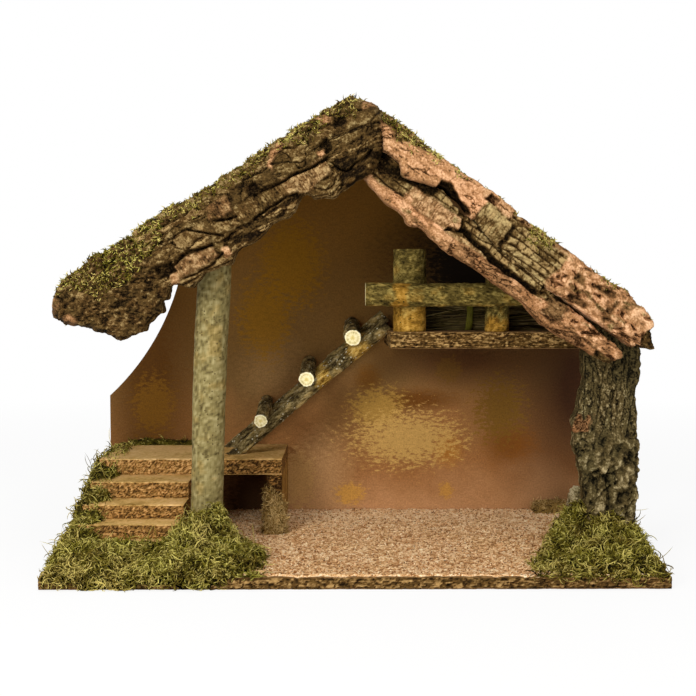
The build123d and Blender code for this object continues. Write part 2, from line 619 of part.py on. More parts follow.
def make_ladder(board):
    """Two branch rails from the landing to the loft, with rungs laid in notches of their upper sides."""
    foot = (LANDING_RIGHT - LADDER_FOOT_INSET, LANDING_TOP)
    head = (LOFT_LEFT, LOFT_HEIGHT + LADDER_TOP_LIFT)
    pitch = math.atan2(head[1] - foot[1], head[0] - foot[0])
    down = (-math.cos(pitch), -math.sin(pitch))
    up = (-math.sin(pitch), math.cos(pitch))
    tilt = math.radians(RUNG_TILT)
    rear_y = WALL_FACE - RAIL_REAR_GAP
    front_y = rear_y - RAIL_SPACING
    lift = RAIL_SPACING * math.tan(tilt)
    length = math.dist(foot, head)
    rung_pitch = (length - RUNG_TOP_DROP - RUNG_FOOT_RISE) / (RUNG_COUNT - 1)

    rungs = {}
    for step in range(RUNG_COUNT):
        along = RUNG_TOP_DROP + step * rung_pitch
        diameter = RUNG_TOP_DIAMETER - step * RUNG_TAPER
        rail_diameter = RAIL_TOP_DIAMETER + (RAIL_FOOT_DIAMETER - RAIL_TOP_DIAMETER) * along / length
        off = (diameter + rail_diameter) / 2 - RUNG_NOTCH
        x = head[0] + down[0] * along + up[0] * off
        z = head[1] + down[1] * along + up[1] * off
        front = (x, front_y - RUNG_OVERHANG, z - RUNG_OVERHANG * math.tan(tilt))
        reach = RUNG_LENGTH - RUNG_OVERHANG
        back = (x, front_y + reach, z + reach * math.tan(tilt))
        rungs[f"ladder_rung_{RUNG_COUNT - step}"] = log(front, back, diameter, diameter)

    above_landing = block(-OUTSIDE, OUTSIDE, -OUTSIDE, OUTSIDE, LANDING_TOP, OUTSIDE)
    pieces = dict(rungs)
    for name, y, higher in (("ladder_rail_front", front_y, 0), ("ladder_rail_rear", rear_y, lift)):
        spare = RAIL_FOOT_DIAMETER + higher / math.sin(pitch)
        low = (foot[0] + down[0] * spare, y, foot[1] + higher + down[1] * spare)
        high = (head[0], y, head[1] + higher)
        rail = (log(low, high, RAIL_FOOT_DIAMETER, RAIL_TOP_DIAMETER) & above_landing) - board
        for rung in rungs.values():
            rail = rail - rung
        pieces[name] = rail
    return pieces


def moss_outline(front, back, front_height, back_height):
    """(y, z) outline of a clump that rises from a soft front lip to its back."""
    return [
        (front, FLOOR),
        (front + MOSS_LIP, FLOOR + front_height),
        ((front + back) / 2, FLOOR + (front_height + back_height) / 2 + MOSS_LIP / 2),
        (back, FLOOR + back_height),
        (back, FLOOR),
    ]


def make_ground_moss(boards, left_post, right_post, stone):
    """Moss clumps on the floor and on the landing, cut away where boards and posts stand."""
    left = -HALF_WIDTH + MOSS_EDGE_INSET
    right = HALF_WIDTH - MOSS_EDGE_INSET
    front = FRONT + MOSS_EDGE_INSET
    step_2_front = FRONT + STAIR_SETBACK + STEP_1_GOING
    post_face = LEFT_POST_Y - LEFT_POST_FOOT_DIAMETER / 2
    post_right = LEFT_POST_X + LEFT_POST_FOOT_DIAMETER / 2
    tip = LEFT_POST_X + MOSS_TIP_REACH
    left_front = mound([
        (left, moss_outline(front, step_2_front, MOSS_FRONT_HEIGHT, MOSS_STAIR_HEIGHT)),
        (STEP_RIGHT, moss_outline(front, step_2_front, MOSS_FRONT_HEIGHT, MOSS_STAIR_HEIGHT)),
        (LEFT_POST_X, moss_outline(front, post_face, MOSS_FRONT_HEIGHT, MOSS_POST_HEIGHT)),
        (post_right, moss_outline(front, post_face, MOSS_FRONT_HEIGHT, MOSS_POST_HEIGHT)),
        (tip, moss_outline(front, post_face, MOSS_TIP_HEIGHT, MOSS_TIP_HEIGHT)),
    ])
    for board in boards.values():
        left_front = left_front - board
    flank = prism_x([
        (step_2_front, FLOOR),
        (step_2_front, FLOOR + MOSS_STAIR_HEIGHT),
        (LANDING_FRONT, LANDING_TOP + MOSS_FLANK_RISE),
        (WALL_FACE, LANDING_TOP + MOSS_FLANK_RISE),
        (WALL_FACE, FLOOR),
    ], left, STEP_LEFT)

    post_inner = RIGHT_POST_EDGE - RIGHT_POST_WIDTH
    reach_back = RIGHT_POST_BACK + MOSS_LIP
    right_clump = mound([
        (post_inner - MOSS_RIGHT_REACH, moss_outline(front, reach_back, MOSS_TIP_HEIGHT, MOSS_TIP_HEIGHT)),
        (post_inner, moss_outline(front, reach_back, MOSS_FRONT_HEIGHT, MOSS_RIGHT_HEIGHT)),
        (RIGHT_POST_EDGE - MOSS_LIP, moss_outline(front, reach_back, MOSS_FRONT_HEIGHT, MOSS_RIGHT_HEIGHT)),
        (right, moss_outline(front, reach_back, MOSS_TIP_HEIGHT, MOSS_RIGHT_END_HEIGHT)),
    ])

    support_front = LANDING_FRONT + SUPPORT_SETBACK
    niche_right = LANDING_RIGHT + MOSS_LIP / 2
    niche_left, niche_front = niche_right - MOSS_NICHE_WIDTH, support_front - MOSS_NICHE_DEPTH
    niche = block(niche_left, niche_right, niche_front, support_front, FLOOR, LANDING_BOTTOM)
    strip_left, strip_front = STEP_LEFT + MOSS_LIP, WALL_FACE - MOSS_STRIP_WIDTH
    strip_right, strip_top = strip_left + MOSS_STRIP_LENGTH, LANDING_TOP + MOSS_STRIP_HEIGHT
    strip = block(strip_left, strip_right, strip_front, WALL_FACE, LANDING_TOP, strip_top)
    back_right = HALF_WIDTH - WALL_RIGHT_INSET - STONE_SIDE_INSET
    back_left, back_top = back_right - MOSS_BACK_LENGTH, FLOOR + MOSS_BACK_HEIGHT
    back = block(back_left, back_right, WALL_FACE - STONE_INSET, WALL_FACE, FLOOR, back_top)
    return {
        "moss_left_front": left_front - left_post,
        "moss_left_flank": flank,
        "moss_right": right_clump - right_post,
        "moss_niche": niche,
        "moss_landing": strip,
        "moss_back": back - stone,
    }


def make_stone():
    """Sand-coated nugget that stands on the floor behind the right post."""
    x = HALF_WIDTH - WALL_RIGHT_INSET - STONE_SIDE_INSET
    y = WALL_FACE - STONE_INSET
    faces = []
    for height, size in ((0, 0.8), (0.4, 1.0), (1, 0.55)):
        plane = Plane(origin=(x, y, FLOOR + height * STONE_HEIGHT))
        faces.append(plane * RegularPolygon(size * STONE_SIZE / 2, 6))
    return loft(faces, ruled=True)


def make_wall_pins():
    """Brads through the wall into the base, the landing and the loft."""
    inward = (0, -1, 0)
    heads = []
    for number in range(WALL_PIN_COUNT):
        x = -HALF_WIDTH + BASE_WIDTH * (number + 0.5) / WALL_PIN_COUNT
        heads.append((x, BASE_THICK / 2))
    for share in (0.2, 0.8):
        heads.append((STEP_LEFT + share * LANDING_LENGTH, LANDING_BOTTOM + LANDING_THICK / 2))
        heads.append((LOFT_LEFT + share * LOFT_LENGTH, LOFT_HEIGHT - LOFT_THICK / 2))
    return [pin((x, BACK, z), inward) for x, z in heads]


def make_base_nails():
    """Nails up through the base into the two roof posts."""
    right_x = RIGHT_POST_EDGE - (RIGHT_POST_WIDTH - RIGHT_POST_WAIST) / 2
    right_y = (RIGHT_POST_FRONT + RIGHT_POST_BACK) / 2
    return [nail((LEFT_POST_X, LEFT_POST_Y, 0), (0, 0, 1)), nail((right_x, right_y, 0), (0, 0, 1))]


def make_loft_nails():
    """Nails up through the loft into its two posts."""
    bottom = LOFT_HEIGHT - LOFT_THICK
    left_y = LOFT_POST_FACE + LOFT_POST_LEFT_DIAMETER / 2
    right_y = LOFT_POST_FACE + LOFT_POST_RIGHT_DIAMETER / 2
    heads = (LOFT_POST_LEFT_X, left_y, bottom), (LOFT_POST_RIGHT_X, right_y, bottom)
    return [nail(head, (0, 0, 1)) for head in heads]


def make_roof_pins():
    """Brads through the slopes into the tops of the posts, square to the slopes."""
    lean = RIDGE_HEIGHT * math.tan(math.radians(LEFT_POST_LEAN))
    right_x = RIGHT_POST_EDGE - RIGHT_POST_WIDTH / 2
    right_y = (RIGHT_POST_FRONT + RIGHT_POST_BACK) / 2
    loft_y = LOFT_POST_FACE + LOFT_POST_RIGHT_DIAMETER / 2
    pins = []
    for side, x, y in (
        (LEFT, LEFT_POST_X + 0.8 * lean, LEFT_POST_Y),
        (RIGHT, right_x, right_y),
        (RIGHT, LOFT_POST_RIGHT_X, loft_y),
    ):
        pitch = PITCH[side]
        inward = (-side * math.sin(pitch), 0, -math.cos(pitch))
        pins.append(pin((x, y, roof_line(side, x, 0)), inward))
    return pins


def make_stable():
    """Every piece by name, with the fasteners' holes cut in what they hold."""
    nodes = {}
    nodes["base_board"] = block(-HALF_WIDTH, HALF_WIDTH, FRONT, WALL_FACE, 0, BASE_THICK)
    nodes["back_wall"] = make_wall()
    nodes["roof_panel_left"] = make_roof_panel(LEFT)
    nodes["roof_panel_right"] = make_roof_panel(RIGHT)
    nodes["roof_bark_left"] = make_bark_left()
    nodes["roof_bark_right_upper"] = make_bark_right_upper()
    nodes["roof_bark_right_lower"] = make_bark_right_lower()
    nodes["roof_moss_left"] = make_roof_moss(LEFT)
    nodes["roof_moss_right"] = make_roof_moss(RIGHT)
    nodes["left_post"] = make_left_post()
    nodes["right_post"] = make_right_post()
    boards = make_steps()
    nodes.update(boards)
    nodes["landing_support"] = make_support()
    nodes.update(make_loft())
    nodes.update(make_ladder(nodes["loft_board"]))
    nodes.update(make_bundle())
    nodes["ground_stone"] = make_stone()
    nodes.update(make_ground_moss(boards, nodes["left_post"], nodes["right_post"], nodes["ground_stone"]))

    sawdust = block(-HALF_WIDTH, HALF_WIDTH, FRONT, WALL_FACE, BASE_THICK, FLOOR)
    for name in ("step_1", "landing_support", "left_post", "right_post"):
        sawdust = sawdust - nodes[name]
    nodes["sawdust_floor"] = sawdust

    fasteners = {
        "wall_pins": (make_wall_pins(), ("back_wall", "base_board", "landing_board", "loft_board")),
        "base_nails": (make_base_nails(), ("base_board", "left_post", "right_post")),
        "loft_nails": (make_loft_nails(), ("loft_board", "loft_post_left", "loft_post_right")),
        "roof_pins": (
            make_roof_pins(),
            ("roof_panel_left", "roof_panel_right", "left_post", "right_post", "loft_post_right"),
        ),
    }
    for name, (group, held) in fasteners.items():
        for node in held:
            for piece in group:
                nodes[node] = nodes[node] - piece
        nodes[name] = Part() + group
    return nodes


os.makedirs("parts", exist_ok=True)
for node_name, shape in make_stable().items():
    export_step(shape, f"parts/{node_name}.step")
    print(node_name, len(shape.solids()), round(shape.volume, 1))
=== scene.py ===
"""Wooden nativity stable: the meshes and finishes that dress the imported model.

Lengths are millimetres until a mesh is written. +X is to the viewer's right, +Y to the back wall, +Z up.
"""

import itertools
import logging
import math
from collections.abc import Sequence
from dataclasses import dataclass, field, replace
from enum import Enum
from functools import cache

import bpy
import numpy as np
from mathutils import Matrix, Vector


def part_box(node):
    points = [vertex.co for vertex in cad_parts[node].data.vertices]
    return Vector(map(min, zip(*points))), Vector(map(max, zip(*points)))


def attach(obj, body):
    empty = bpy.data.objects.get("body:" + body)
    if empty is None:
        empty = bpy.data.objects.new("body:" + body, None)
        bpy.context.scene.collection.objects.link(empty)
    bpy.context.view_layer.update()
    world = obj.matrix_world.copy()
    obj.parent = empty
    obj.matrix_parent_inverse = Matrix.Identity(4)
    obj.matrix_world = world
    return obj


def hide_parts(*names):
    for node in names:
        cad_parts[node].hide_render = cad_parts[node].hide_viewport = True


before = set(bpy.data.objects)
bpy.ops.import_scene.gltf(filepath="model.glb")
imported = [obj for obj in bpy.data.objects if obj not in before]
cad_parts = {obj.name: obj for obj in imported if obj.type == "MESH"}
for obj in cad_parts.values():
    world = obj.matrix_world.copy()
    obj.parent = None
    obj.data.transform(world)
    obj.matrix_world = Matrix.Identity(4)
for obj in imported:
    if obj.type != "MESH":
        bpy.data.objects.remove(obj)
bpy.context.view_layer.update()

log = logging.getLogger("stable")
Array = np.ndarray
Knots = Sequence[tuple[float, float]]
Span = tuple[float, float]
MM = 0.001
BODY = "root"
BAKE_MAP = "OFBake"
TONES = ("crest", "accent", "chance")
ENDLESS: Span = (-1e4, 1e4)
TINY = 1e-9

# Sockets of the Mix node, and the settings with which it mixes colours
FACTOR, FIRST, SECOND = 0, 6, 7
COLOUR_MIX = {"out": 2, "data_type": "RGBA"}

# Roof slopes of the model: the panels' top faces meet at the ridge over x = 0
RIDGE_HEIGHT = 309.0
HALF_SPAN = 190.0
ROOF_THICK = 4.0
ROOF_FRONT = -50.0
ROOF_BACK = 100.0
CAP_BACK = -34.0

# Faces that other pieces stand on or hang over, and the width of the right post
BASE_FRONT = -100.0
FLOOR = 9.0
LANDING = 64.0
LOFT = 160.0
POST_WIDTH = 49.0

# Reflection of dry, dusty stuff, which leaves dark colours deep
DRY_SHEEN = 0.07

# Strands that hang over the base's edge end above what the stable stands on
STRAND_FLOOR = 0.8


def joined(*axes: Array | float) -> Array:
    """Arrays spread to one shape and set side by side on a new last axis."""
    return np.stack(np.broadcast_arrays(*axes), -1)


def unit(vectors: Array) -> Array:
    """Vectors on the last axis, each brought to a length of 1."""
    return vectors / (np.linalg.norm(vectors, axis=-1, keepdims=True) + TINY)


class Side(Enum):
    """Slope of the roof, by the height of its eave."""

    LEFT = 193.5
    RIGHT = 172.0

    @property
    def sign(self) -> int:
        """-1 on the left, 1 on the right."""
        return -1 if self is Side.LEFT else 1

    @property
    def pitch(self) -> float:
        """Angle of the slope in radians."""
        return math.atan2(RIDGE_HEIGHT - self.value, HALF_SPAN)

    @property
    def length(self) -> float:
        """Length of the slope from the ridge to the eave."""
        return HALF_SPAN / math.cos(self.pitch)

    def place(self, along: Array, above: Array, depth: Array) -> Array:
        """Points of the slope: x = sign (along cos + above sin), z = ridge - along sin + above cos.

        Args:
            along: Distance down the slope from the ridge.
            above: Distance above the panel's top face.
            depth: The y of each point.

        Returns:
            Places, with x, y and z on the last axis.
        """
        x = self.sign * (along * math.cos(self.pitch) + above * math.sin(self.pitch))
        z = RIDGE_HEIGHT - along * math.sin(self.pitch) + above * math.cos(self.pitch)
        return joined(x, depth, z)


def roof_underside(x: Array) -> Array:
    """Height of the roof's lower face over x: each slope falls by tan(pitch), less its thickness.

    Args:
        x: Places across the stable.

    Returns:
        Heights of the lower of the two slopes' lower faces.
    """
    heights = [
        RIDGE_HEIGHT - side.sign * x * math.tan(side.pitch) - ROOF_THICK / math.cos(side.pitch)
        for side in Side
    ]
    return np.minimum(*heights)


def circle(count: int) -> Array:
    """Angles of evenly spaced places round a circle."""
    return np.linspace(0.0, 2.0 * math.pi, count, endpoint=False)


def box_mm(node: str) -> tuple[Array, Array]:
    """Lowest and highest corner of a node of the model, in millimetres."""
    low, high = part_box(node)
    return np.array(low) / MM, np.array(high) / MM


def ease(low: float, high: float, value: Array) -> Array:
    """Smooth step from 0 at low to 1 at high: t t (3 - 2 t).

    Args:
        low: Value that gives 0.
        high: Value that gives 1.
        value: Values to turn.

    Returns:
        Numbers from 0 to 1.
    """
    t = np.clip((value - low) / (high - low), 0.0, 1.0)
    return t * t * (3.0 - 2.0 * t)


def through(knots: Knots, at: Array) -> Array:
    """Smooth curve through knots: a cubic between each two, with the slopes of their neighbours.

    Args:
        knots: (place, value) pairs in rising order of place.
        at: Places to read, held at the first and last knot beyond them.

    Returns:
        Values of the curve.
    """
    place, value = np.array(knots, float).T
    slope = np.gradient(value, place)
    at = np.clip(at, place[0], place[-1])
    left = np.clip(np.searchsorted(place, at) - 1, 0, len(place) - 2)
    run = place[left + 1] - place[left]
    t = (at - place[left]) / run
    rise = value[left + 1] - value[left]
    inner = slope[left] * run * t * (1 - t) ** 2 - slope[left + 1] * run * t * t * (1 - t)
    return value[left] + rise * t * t * (3 - 2 * t) + inner


def chances(cell: Array, seed: int) -> Array:
    """Random number from 0 to 1 for each whole-numbered cell, by mixing its bits.

    Args:
        cell: Cell numbers, with the axes last.
        seed: Which set of numbers.

    Returns:
        One number for each cell.
    """
    primes = np.array([0x9E3779B1, 0x85EBCA77, 0xC2B2AE3D], np.uint32)[: cell.shape[-1]]
    key = (cell.astype(np.int64).astype(np.uint32) * primes).sum(-1, dtype=np.uint32)
    key = key ^ np.uint32((seed * 0x27D4EB2F + 0x165667B1) & 0xFFFFFFFF)
    for shift, factor in ((15, 0x2C1B3C6D), (12, 0x297A2D39), (15, 0x1B56C4E9)):
        key = (key ^ (key >> np.uint32(shift))) * np.uint32(factor)
    return (key ^ (key >> np.uint32(14))) / 2.0**32


def noise(points: Array, octaves: int, seed: int) -> Array:
    """Sum of value noise: lattice numbers eased between cells, each octave half as wide and half as high.

    Args:
        points: Places in cells, with the axes last.
        octaves: How many sizes are added.
        seed: Which noise.

    Returns:
        Numbers from about -1 to 1.
    """
    total = np.zeros(points.shape[:-1])
    for octave in range(octaves):
        scaled = points * 2.0**octave + 17.3 * octave
        base = np.floor(scaled)
        part = scaled - base
        part = part * part * (3.0 - 2.0 * part)
        for corner in itertools.product((0, 1), repeat=points.shape[-1]):
            weight = np.prod(np.where(np.array(corner) == 1, part, 1.0 - part), axis=-1)
            total += weight * (2.0 * chances(base + corner, seed + octave) - 1.0) / 2.0**octave
    return total


def cells(points: Array, size: Span, seed: int) -> tuple[Array, Array, Array]:
    """Cells round one random spot in each rectangle of a size.

    The edge between two cells is the line where both spots are as far away, in sizes. A place lies
    (far far - near near) / (2 |step between the spots / size|) from it.

    Args:
        points: Places in sizes, two axes last.
        size: Length and width of a cell in millimetres.
        seed: Which spots.

    Returns:
        Distance to the cell's edge in millimetres, the place across the cell in cells, and its random number.
    """
    base = np.floor(points)
    near = np.full(points.shape[:-1], 99.0)
    far = near.copy()
    from_near, from_far = np.zeros_like(points), np.zeros_like(points)
    label = np.zeros_like(near)
    for step in itertools.product((-1, 0, 1), repeat=2):
        cell = base + step
        away = points - cell - joined(chances(cell, seed), chances(cell, seed + 1))
        square = (away**2).sum(-1)
        closer, second = square < near, square < far
        from_far = np.where(closer[..., None], from_near, np.where(second[..., None], away, from_far))
        far = np.where(closer, near, np.minimum(far, square))
        label = np.where(closer, chances(cell, seed + 2), label)
        from_near = np.where(closer[..., None], away, from_near)
        near = np.where(closer, square, near)
    between = np.linalg.norm((from_near - from_far) / np.array(size), axis=-1)
    return (far - near) / (2.0 * between + TINY), from_near[..., 1], label


def courses(points: Array, size: Span, seed: int) -> tuple[Array, Array, Array]:
    """Blocks in courses, each course shifted by its own random number.

    Args:
        points: Places in sizes, along and across the courses.
        size: Length and width of a block in millimetres.
        seed: Which blocks.

    Returns:
        Distances to the block's nearest end and side in millimetres, and the block's own random number.
    """
    row = np.floor(points[..., 1])
    shifted = points[..., 0] + 7.0 * chances(row[..., None], seed)
    column = np.floor(shifted)
    inside = joined(shifted - column, points[..., 1] - row)
    to_end, to_side = np.moveaxis(np.minimum(inside, 1.0 - inside) * size, -1, 0)
    return to_end, to_side, chances(joined(row, column), seed + 1)


def normals_of(grid: Array, closed: bool) -> Array:
    """Unit normals of a grid surface: the cross product of its steps along and round.

    Args:
        grid: (along, round, 3) places.
        closed: Whether the last place of each row meets the first.

    Returns:
        (along, round, 3) normals, which point away from the middle of the grid.
    """
    along = np.gradient(grid, axis=0)
    round_step = np.roll(grid, -1, 1) - np.roll(grid, 1, 1) if closed else np.gradient(grid, axis=1)
    normal = unit(np.cross(along, round_step))
    middle = grid.mean(1, keepdims=True) if closed else grid - (0.0, 0.0, 1.0)
    return normal * np.sign((normal * (grid - middle)).sum(-1).mean())


def sample_loop(corners: Array, spacings: Sequence[float], passes: int) -> Array:
    """Samples round a closed polygon, each pass averaging every sample with its neighbours.

    Args:
        corners: Corners, the first two columns in millimetres and the others carried along.
        spacings: Distance between samples on the side that starts at each corner.
        passes: How often the samples are averaged, which rounds the corners.

    Returns:
        The samples, with the corners' columns.
    """
    sides = []
    for start, end, spacing in zip(corners, np.roll(corners, -1, 0), spacings):
        count = max(2, math.ceil(np.linalg.norm((end - start)[:2]) / spacing))
        share = np.arange(count)[:, None] / count
        sides.append(start + (end - start) * share)
    loop = np.concatenate(sides)
    for _ in range(passes):
        loop = (np.roll(loop, 1, 0) + 2.0 * loop + np.roll(loop, -1, 0)) / 4.0
    return loop


@dataclass
class Patch:
    """Part of a piece's mesh."""

    points: Array  # (n, 3) places in millimetres
    faces: Array  # (m, 4) corners of the faces, with -1 as a triangle's fourth
    uv: Array  # (m, 4, 2) place of each corner on the piece's own map
    tone: Array  # (n, 3) numbers from 0 to 1 that the finish reads, in the order of TONES
    wears: Array  # (m,) which of the piece's finishes each face has
    smooth: bool = True  # Whether the faces are shaded as one round surface

    def __post_init__(self) -> None:
        """Turns the faces outwards, by the sign of the volume that they enclose."""
        a, b, c = (self.points[self.faces[:, corner]] for corner in range(3))
        d = np.where(self.faces[:, 3:] >= 0, self.points[self.faces[:, 3]], c)
        volume = np.einsum("ij,ij->", a, np.cross(b, c)) + np.einsum("ij,ij->", a, np.cross(c, d))
        if volume < 0:
            order = np.where(self.faces[:, 3:] >= 0, (0, 3, 2, 1), (0, 2, 1, 3))
            self.faces = np.take_along_axis(self.faces, order, 1)
            self.uv = np.take_along_axis(self.uv, order[..., None], 1)


def ring_patch(rings: Array, tone: Array, wears: Array | None = None, smooth: bool = True) -> Patch:
    """Closed surface through rings of points, with a fan to the middle of the first and the last ring.

    Args:
        rings: (along, round, 3) places, each ring closed.
        tone: (along, round, 3) tones.
        wears: (along - 1,) finish of each strip between two rings.
        smooth: How it is shaded.

    Returns:
        The patch, unrolled on its map by the lengths along and round it.
    """
    count, size = rings.shape[:2]
    index = np.arange(count * size).reshape(count, size)
    after = np.roll(index, -1, 1)
    strips = joined(index[:-1], index[1:], after[1:], after[:-1]).reshape(-1, 4)
    first = joined(count * size, index[0], after[0], -1)
    last = joined(count * size + 1, after[-1], index[-1], -1)
    steps = np.linalg.norm(np.diff(rings, axis=0), axis=-1).mean(1)
    turns = np.linalg.norm(np.roll(rings, -1, 1) - rings, axis=-1).mean(0)
    u = 0.02 + 0.96 * np.append(0.0, np.cumsum(steps)) / steps.sum()
    v = np.append(0.0, np.cumsum(turns)) / turns.sum()
    u_low, v_low = np.meshgrid(u[:-1], v[:-1], indexing="ij")
    u_high, v_high = np.meshgrid(u[1:], v[1:], indexing="ij")
    strip_uv = [(u_low, v_low), (u_high, v_low), (u_high, v_high), (u_low, v_high)]
    uv = [np.stack([joined(*corner) for corner in strip_uv], 2).reshape(-1, 4, 2)]
    middle = (v[:-1] + v[1:]) / 2
    for pole, rim, near, away in ((0.0, u[0], v[:-1], v[1:]), (1.0, u[-1], v[1:], v[:-1])):
        fan = [(pole, middle), (rim, near), (rim, away)]
        uv.append(np.stack([joined(*corner) for corner in fan + fan[-1:]], 1))
    worn = np.zeros(count - 1, int) if wears is None else wears
    worn = np.concatenate([np.repeat(worn, size), np.full(size, worn[0]), np.full(size, worn[-1])])
    ends = [0, -1]
    return Patch(
        np.concatenate([rings.reshape(-1, 3), rings[ends].mean(1)]),
        np.concatenate([strips, first, last]),
        np.concatenate(uv),
        np.concatenate([tone.reshape(-1, 3), tone[ends].mean(1)]),
        worn,
        smooth,
    )


def underside(top: Array, height: Array | float, step: int) -> Array:
    """Lower surface of a sheet: the rows of its top, backwards, at a height.

    Args:
        top: (along, across, 3) upper surface.
        height: The z of the underside, a number or one for each row.
        step: Every so many points of a row are kept, and both of its ends.

    Returns:
        (along, fewer across, 3) places.
    """
    below = top[:, ::-step].copy()
    below[:, -1] = top[:, 0]
    below[:, 0] = top[:, -1]
    below[..., 2] = height
    return below


def sheet_patch(top: Array, below: Array, tone: Array) -> Patch:
    """Closed sheet: each ring runs along a row of its top and back along its underside.

    Args:
        top: (along, across, 3) upper surface.
        below: (along, fewer across, 3) lower surface, from the end of each row to its start.
        tone: Tones of the top, whose last ones the underside has.

    Returns:
        The patch.
    """
    tones = np.pad(tone, ((0, 0), (0, below.shape[1]), (0, 0)), mode="edge")
    return ring_patch(np.concatenate([top, below], 1), tones)


def strand_patch(paths: Array, radius: Array, tone: Array, rng: np.random.Generator) -> Patch:
    """Three-sided strands that taper to a point: at each place of a path, three points round its direction.

    Args:
        paths: (strands, places, 3) middle lines.
        radius: (strands, places) half widths.
        tone: (strands, places, 3) tones.
        rng: Source of the directions that the sides face.

    Returns:
        The patch, with 6 places - 8 triangles a strand.
    """
    count, places = paths.shape[:2]
    run = unit(np.gradient(paths, axis=1))
    side = unit(np.cross(run, rng.normal(size=(count, 1, 3))))
    other = np.cross(run, side)
    angle = circle(3)
    turn = side[:, :, None] * np.cos(angle)[:, None] + other[:, :, None] * np.sin(angle)[:, None]
    rings = (paths[:, :, None] + radius[:, :, None, None] * turn)[:, :-1]
    points = np.concatenate([rings.reshape(count, -1, 3), paths[:, -1:]], 1)
    tones = np.concatenate([np.repeat(tone[:, :-1], 3, 1), tone[:, -1:]], 1)
    tip = 3 * (places - 1)
    corner, following = np.arange(tip), np.arange(tip) // 3 * 3 + (np.arange(tip) + 1) % 3
    walls = joined(corner, corner + 3, following + 3, following)[: tip - 3]
    point = joined(corner, tip, following, -1)[tip - 3 :]
    local = np.concatenate([walls, point, [[0, 1, 2, -1]]])
    faces = np.where(local >= 0, local + np.arange(count)[:, None, None] * (tip + 1), -1).reshape(-1, 4)
    flat = points.reshape(-1, 3)
    return Patch(flat, faces, np.zeros((len(faces), 4, 2)), tones.reshape(-1, 3), np.zeros(len(faces), int))


def put(name: str, data: bpy.types.ID) -> bpy.types.Object:
    """New object of the scene that shows this data."""
    made = bpy.data.objects.new(name, data)
    bpy.context.scene.collection.objects.link(made)
    return made


def add_piece(
    name: str, patches: Sequence[Patch], finishes: Sequence["Grained"],
    replaces: Sequence[str] = (), by_tone: bool = False,
) -> bpy.types.Object:
    """Writes patches into one mesh that rides on the stable.

    Args:
        name: Name of the piece, less its ending.
        patches: Its parts.
        finishes: Finishes that the patches' faces wear by number.
        replaces: Nodes of the model that it stands for.
        by_tone: Whether each corner lies on the map by its accent and crest, as on thousands of strands.

    Returns:
        The new object.
    """
    starts = np.cumsum([0] + [len(patch.points) for patch in patches[:-1]])
    faces = [np.where(p.faces >= 0, p.faces + start, -1) for p, start in zip(patches, starts)]
    faces = np.concatenate(faces)
    points, tone, uv, worn = (
        np.concatenate([getattr(patch, part) for patch in patches])
        for part in ("points", "tone", "uv", "wears")
    )
    tone = np.clip(tone, 0.0, 1.0)
    if by_tone:
        apart = 0.004 * np.array([(0, 0), (1, 0), (1, 1), (0, 1)])
        uv = 0.01 + 0.97 * tone[faces][..., (1, 0)] + apart
    real = faces >= 0
    name = f"{name}_skin"
    mesh = bpy.data.meshes.new(name)
    mesh.vertices.add(len(points))
    mesh.vertices.foreach_set("co", (points * MM).astype(np.float32).ravel())
    mesh.loops.add(int(real.sum()))
    mesh.loops.foreach_set("vertex_index", faces[real].astype(np.int32))
    mesh.polygons.add(len(faces))
    loop_starts = np.append(0, np.cumsum(real.sum(1)))[:-1]
    mesh.polygons.foreach_set("loop_start", loop_starts.astype(np.int32))
    mesh.polygons.foreach_set("material_index", worn.astype(np.int32))
    smooth = np.concatenate([np.full(len(patch.faces), patch.smooth) for patch in patches])
    mesh.polygons.foreach_set("use_smooth", smooth)
    layer = mesh.uv_layers.new(name=BAKE_MAP)
    layer.uv.foreach_set("vector", uv[real].astype(np.float32).ravel())
    for number, label in enumerate(TONES):
        values = mesh.attributes.new(label, "FLOAT", "POINT")
        values.data.foreach_set("value", tone[:, number].astype(np.float32))
    for finish in finishes:
        mesh.materials.append(finish.material())
    mesh.update()
    mesh.validate()
    piece = put(name, mesh)
    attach(piece, BODY)
    if replaces:
        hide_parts(*replaces)
    log.info("%s: %d faces", name, len(faces))
    return piece


def linear(code: str) -> tuple[float, float, float, float]:
    """Linear colour of an sRGB hex code, with full alpha."""
    parts = [int(code[place : place + 2], 16) / 255.0 for place in (1, 3, 5)]
    spread = [part / 12.92 if part <= 0.04045 else ((part + 0.055) / 1.055) ** 2.4 for part in parts]
    return (*spread, 1.0)


def add(
    tree: bpy.types.NodeTree, kind: str, inputs: dict | None = None, out: int | str = 0,
    stops: Sequence[tuple[float, str]] = (), **settings: object,
) -> bpy.types.NodeSocket | None:
    """Adds one shader node.

    Args:
        tree: Tree of the material.
        kind: Name of the node's type after ShaderNode.
        inputs: Value or socket for each input, by name or number.
        out: Output to return.
        stops: (place, hex colour) stops of a colour ramp.
        **settings: Properties of the node.

    Returns:
        The output, or None if the node has none.
    """
    made = tree.nodes.new("ShaderNode" + kind)
    for label, value in settings.items():
        setattr(made, label, value)
    for key, value in (inputs or {}).items():
        if isinstance(value, bpy.types.NodeSocket):
            tree.links.new(value, made.inputs[key])
        else:
            made.inputs[key].default_value = value
    for number, (place, code) in enumerate(stops):
        if number >= len(made.color_ramp.elements):
            made.color_ramp.elements.new(place)
        made.color_ramp.elements[number].position = place
        made.color_ramp.elements[number].color = linear(code)
    return made.outputs[out] if len(made.outputs) else None


def blank_material(name: str) -> tuple[bpy.types.Material, bpy.types.NodeTree]:
    """New material with an empty node tree."""
    made = bpy.data.materials.new(name)
    made.use_nodes = True
    made.node_tree.nodes.clear()
    return made, made.node_tree


def per_metre(size_mm: float) -> float:
    """Scale of a pattern whose features are this wide, where coordinates are metres."""
    return 1.0 / (size_mm * MM)


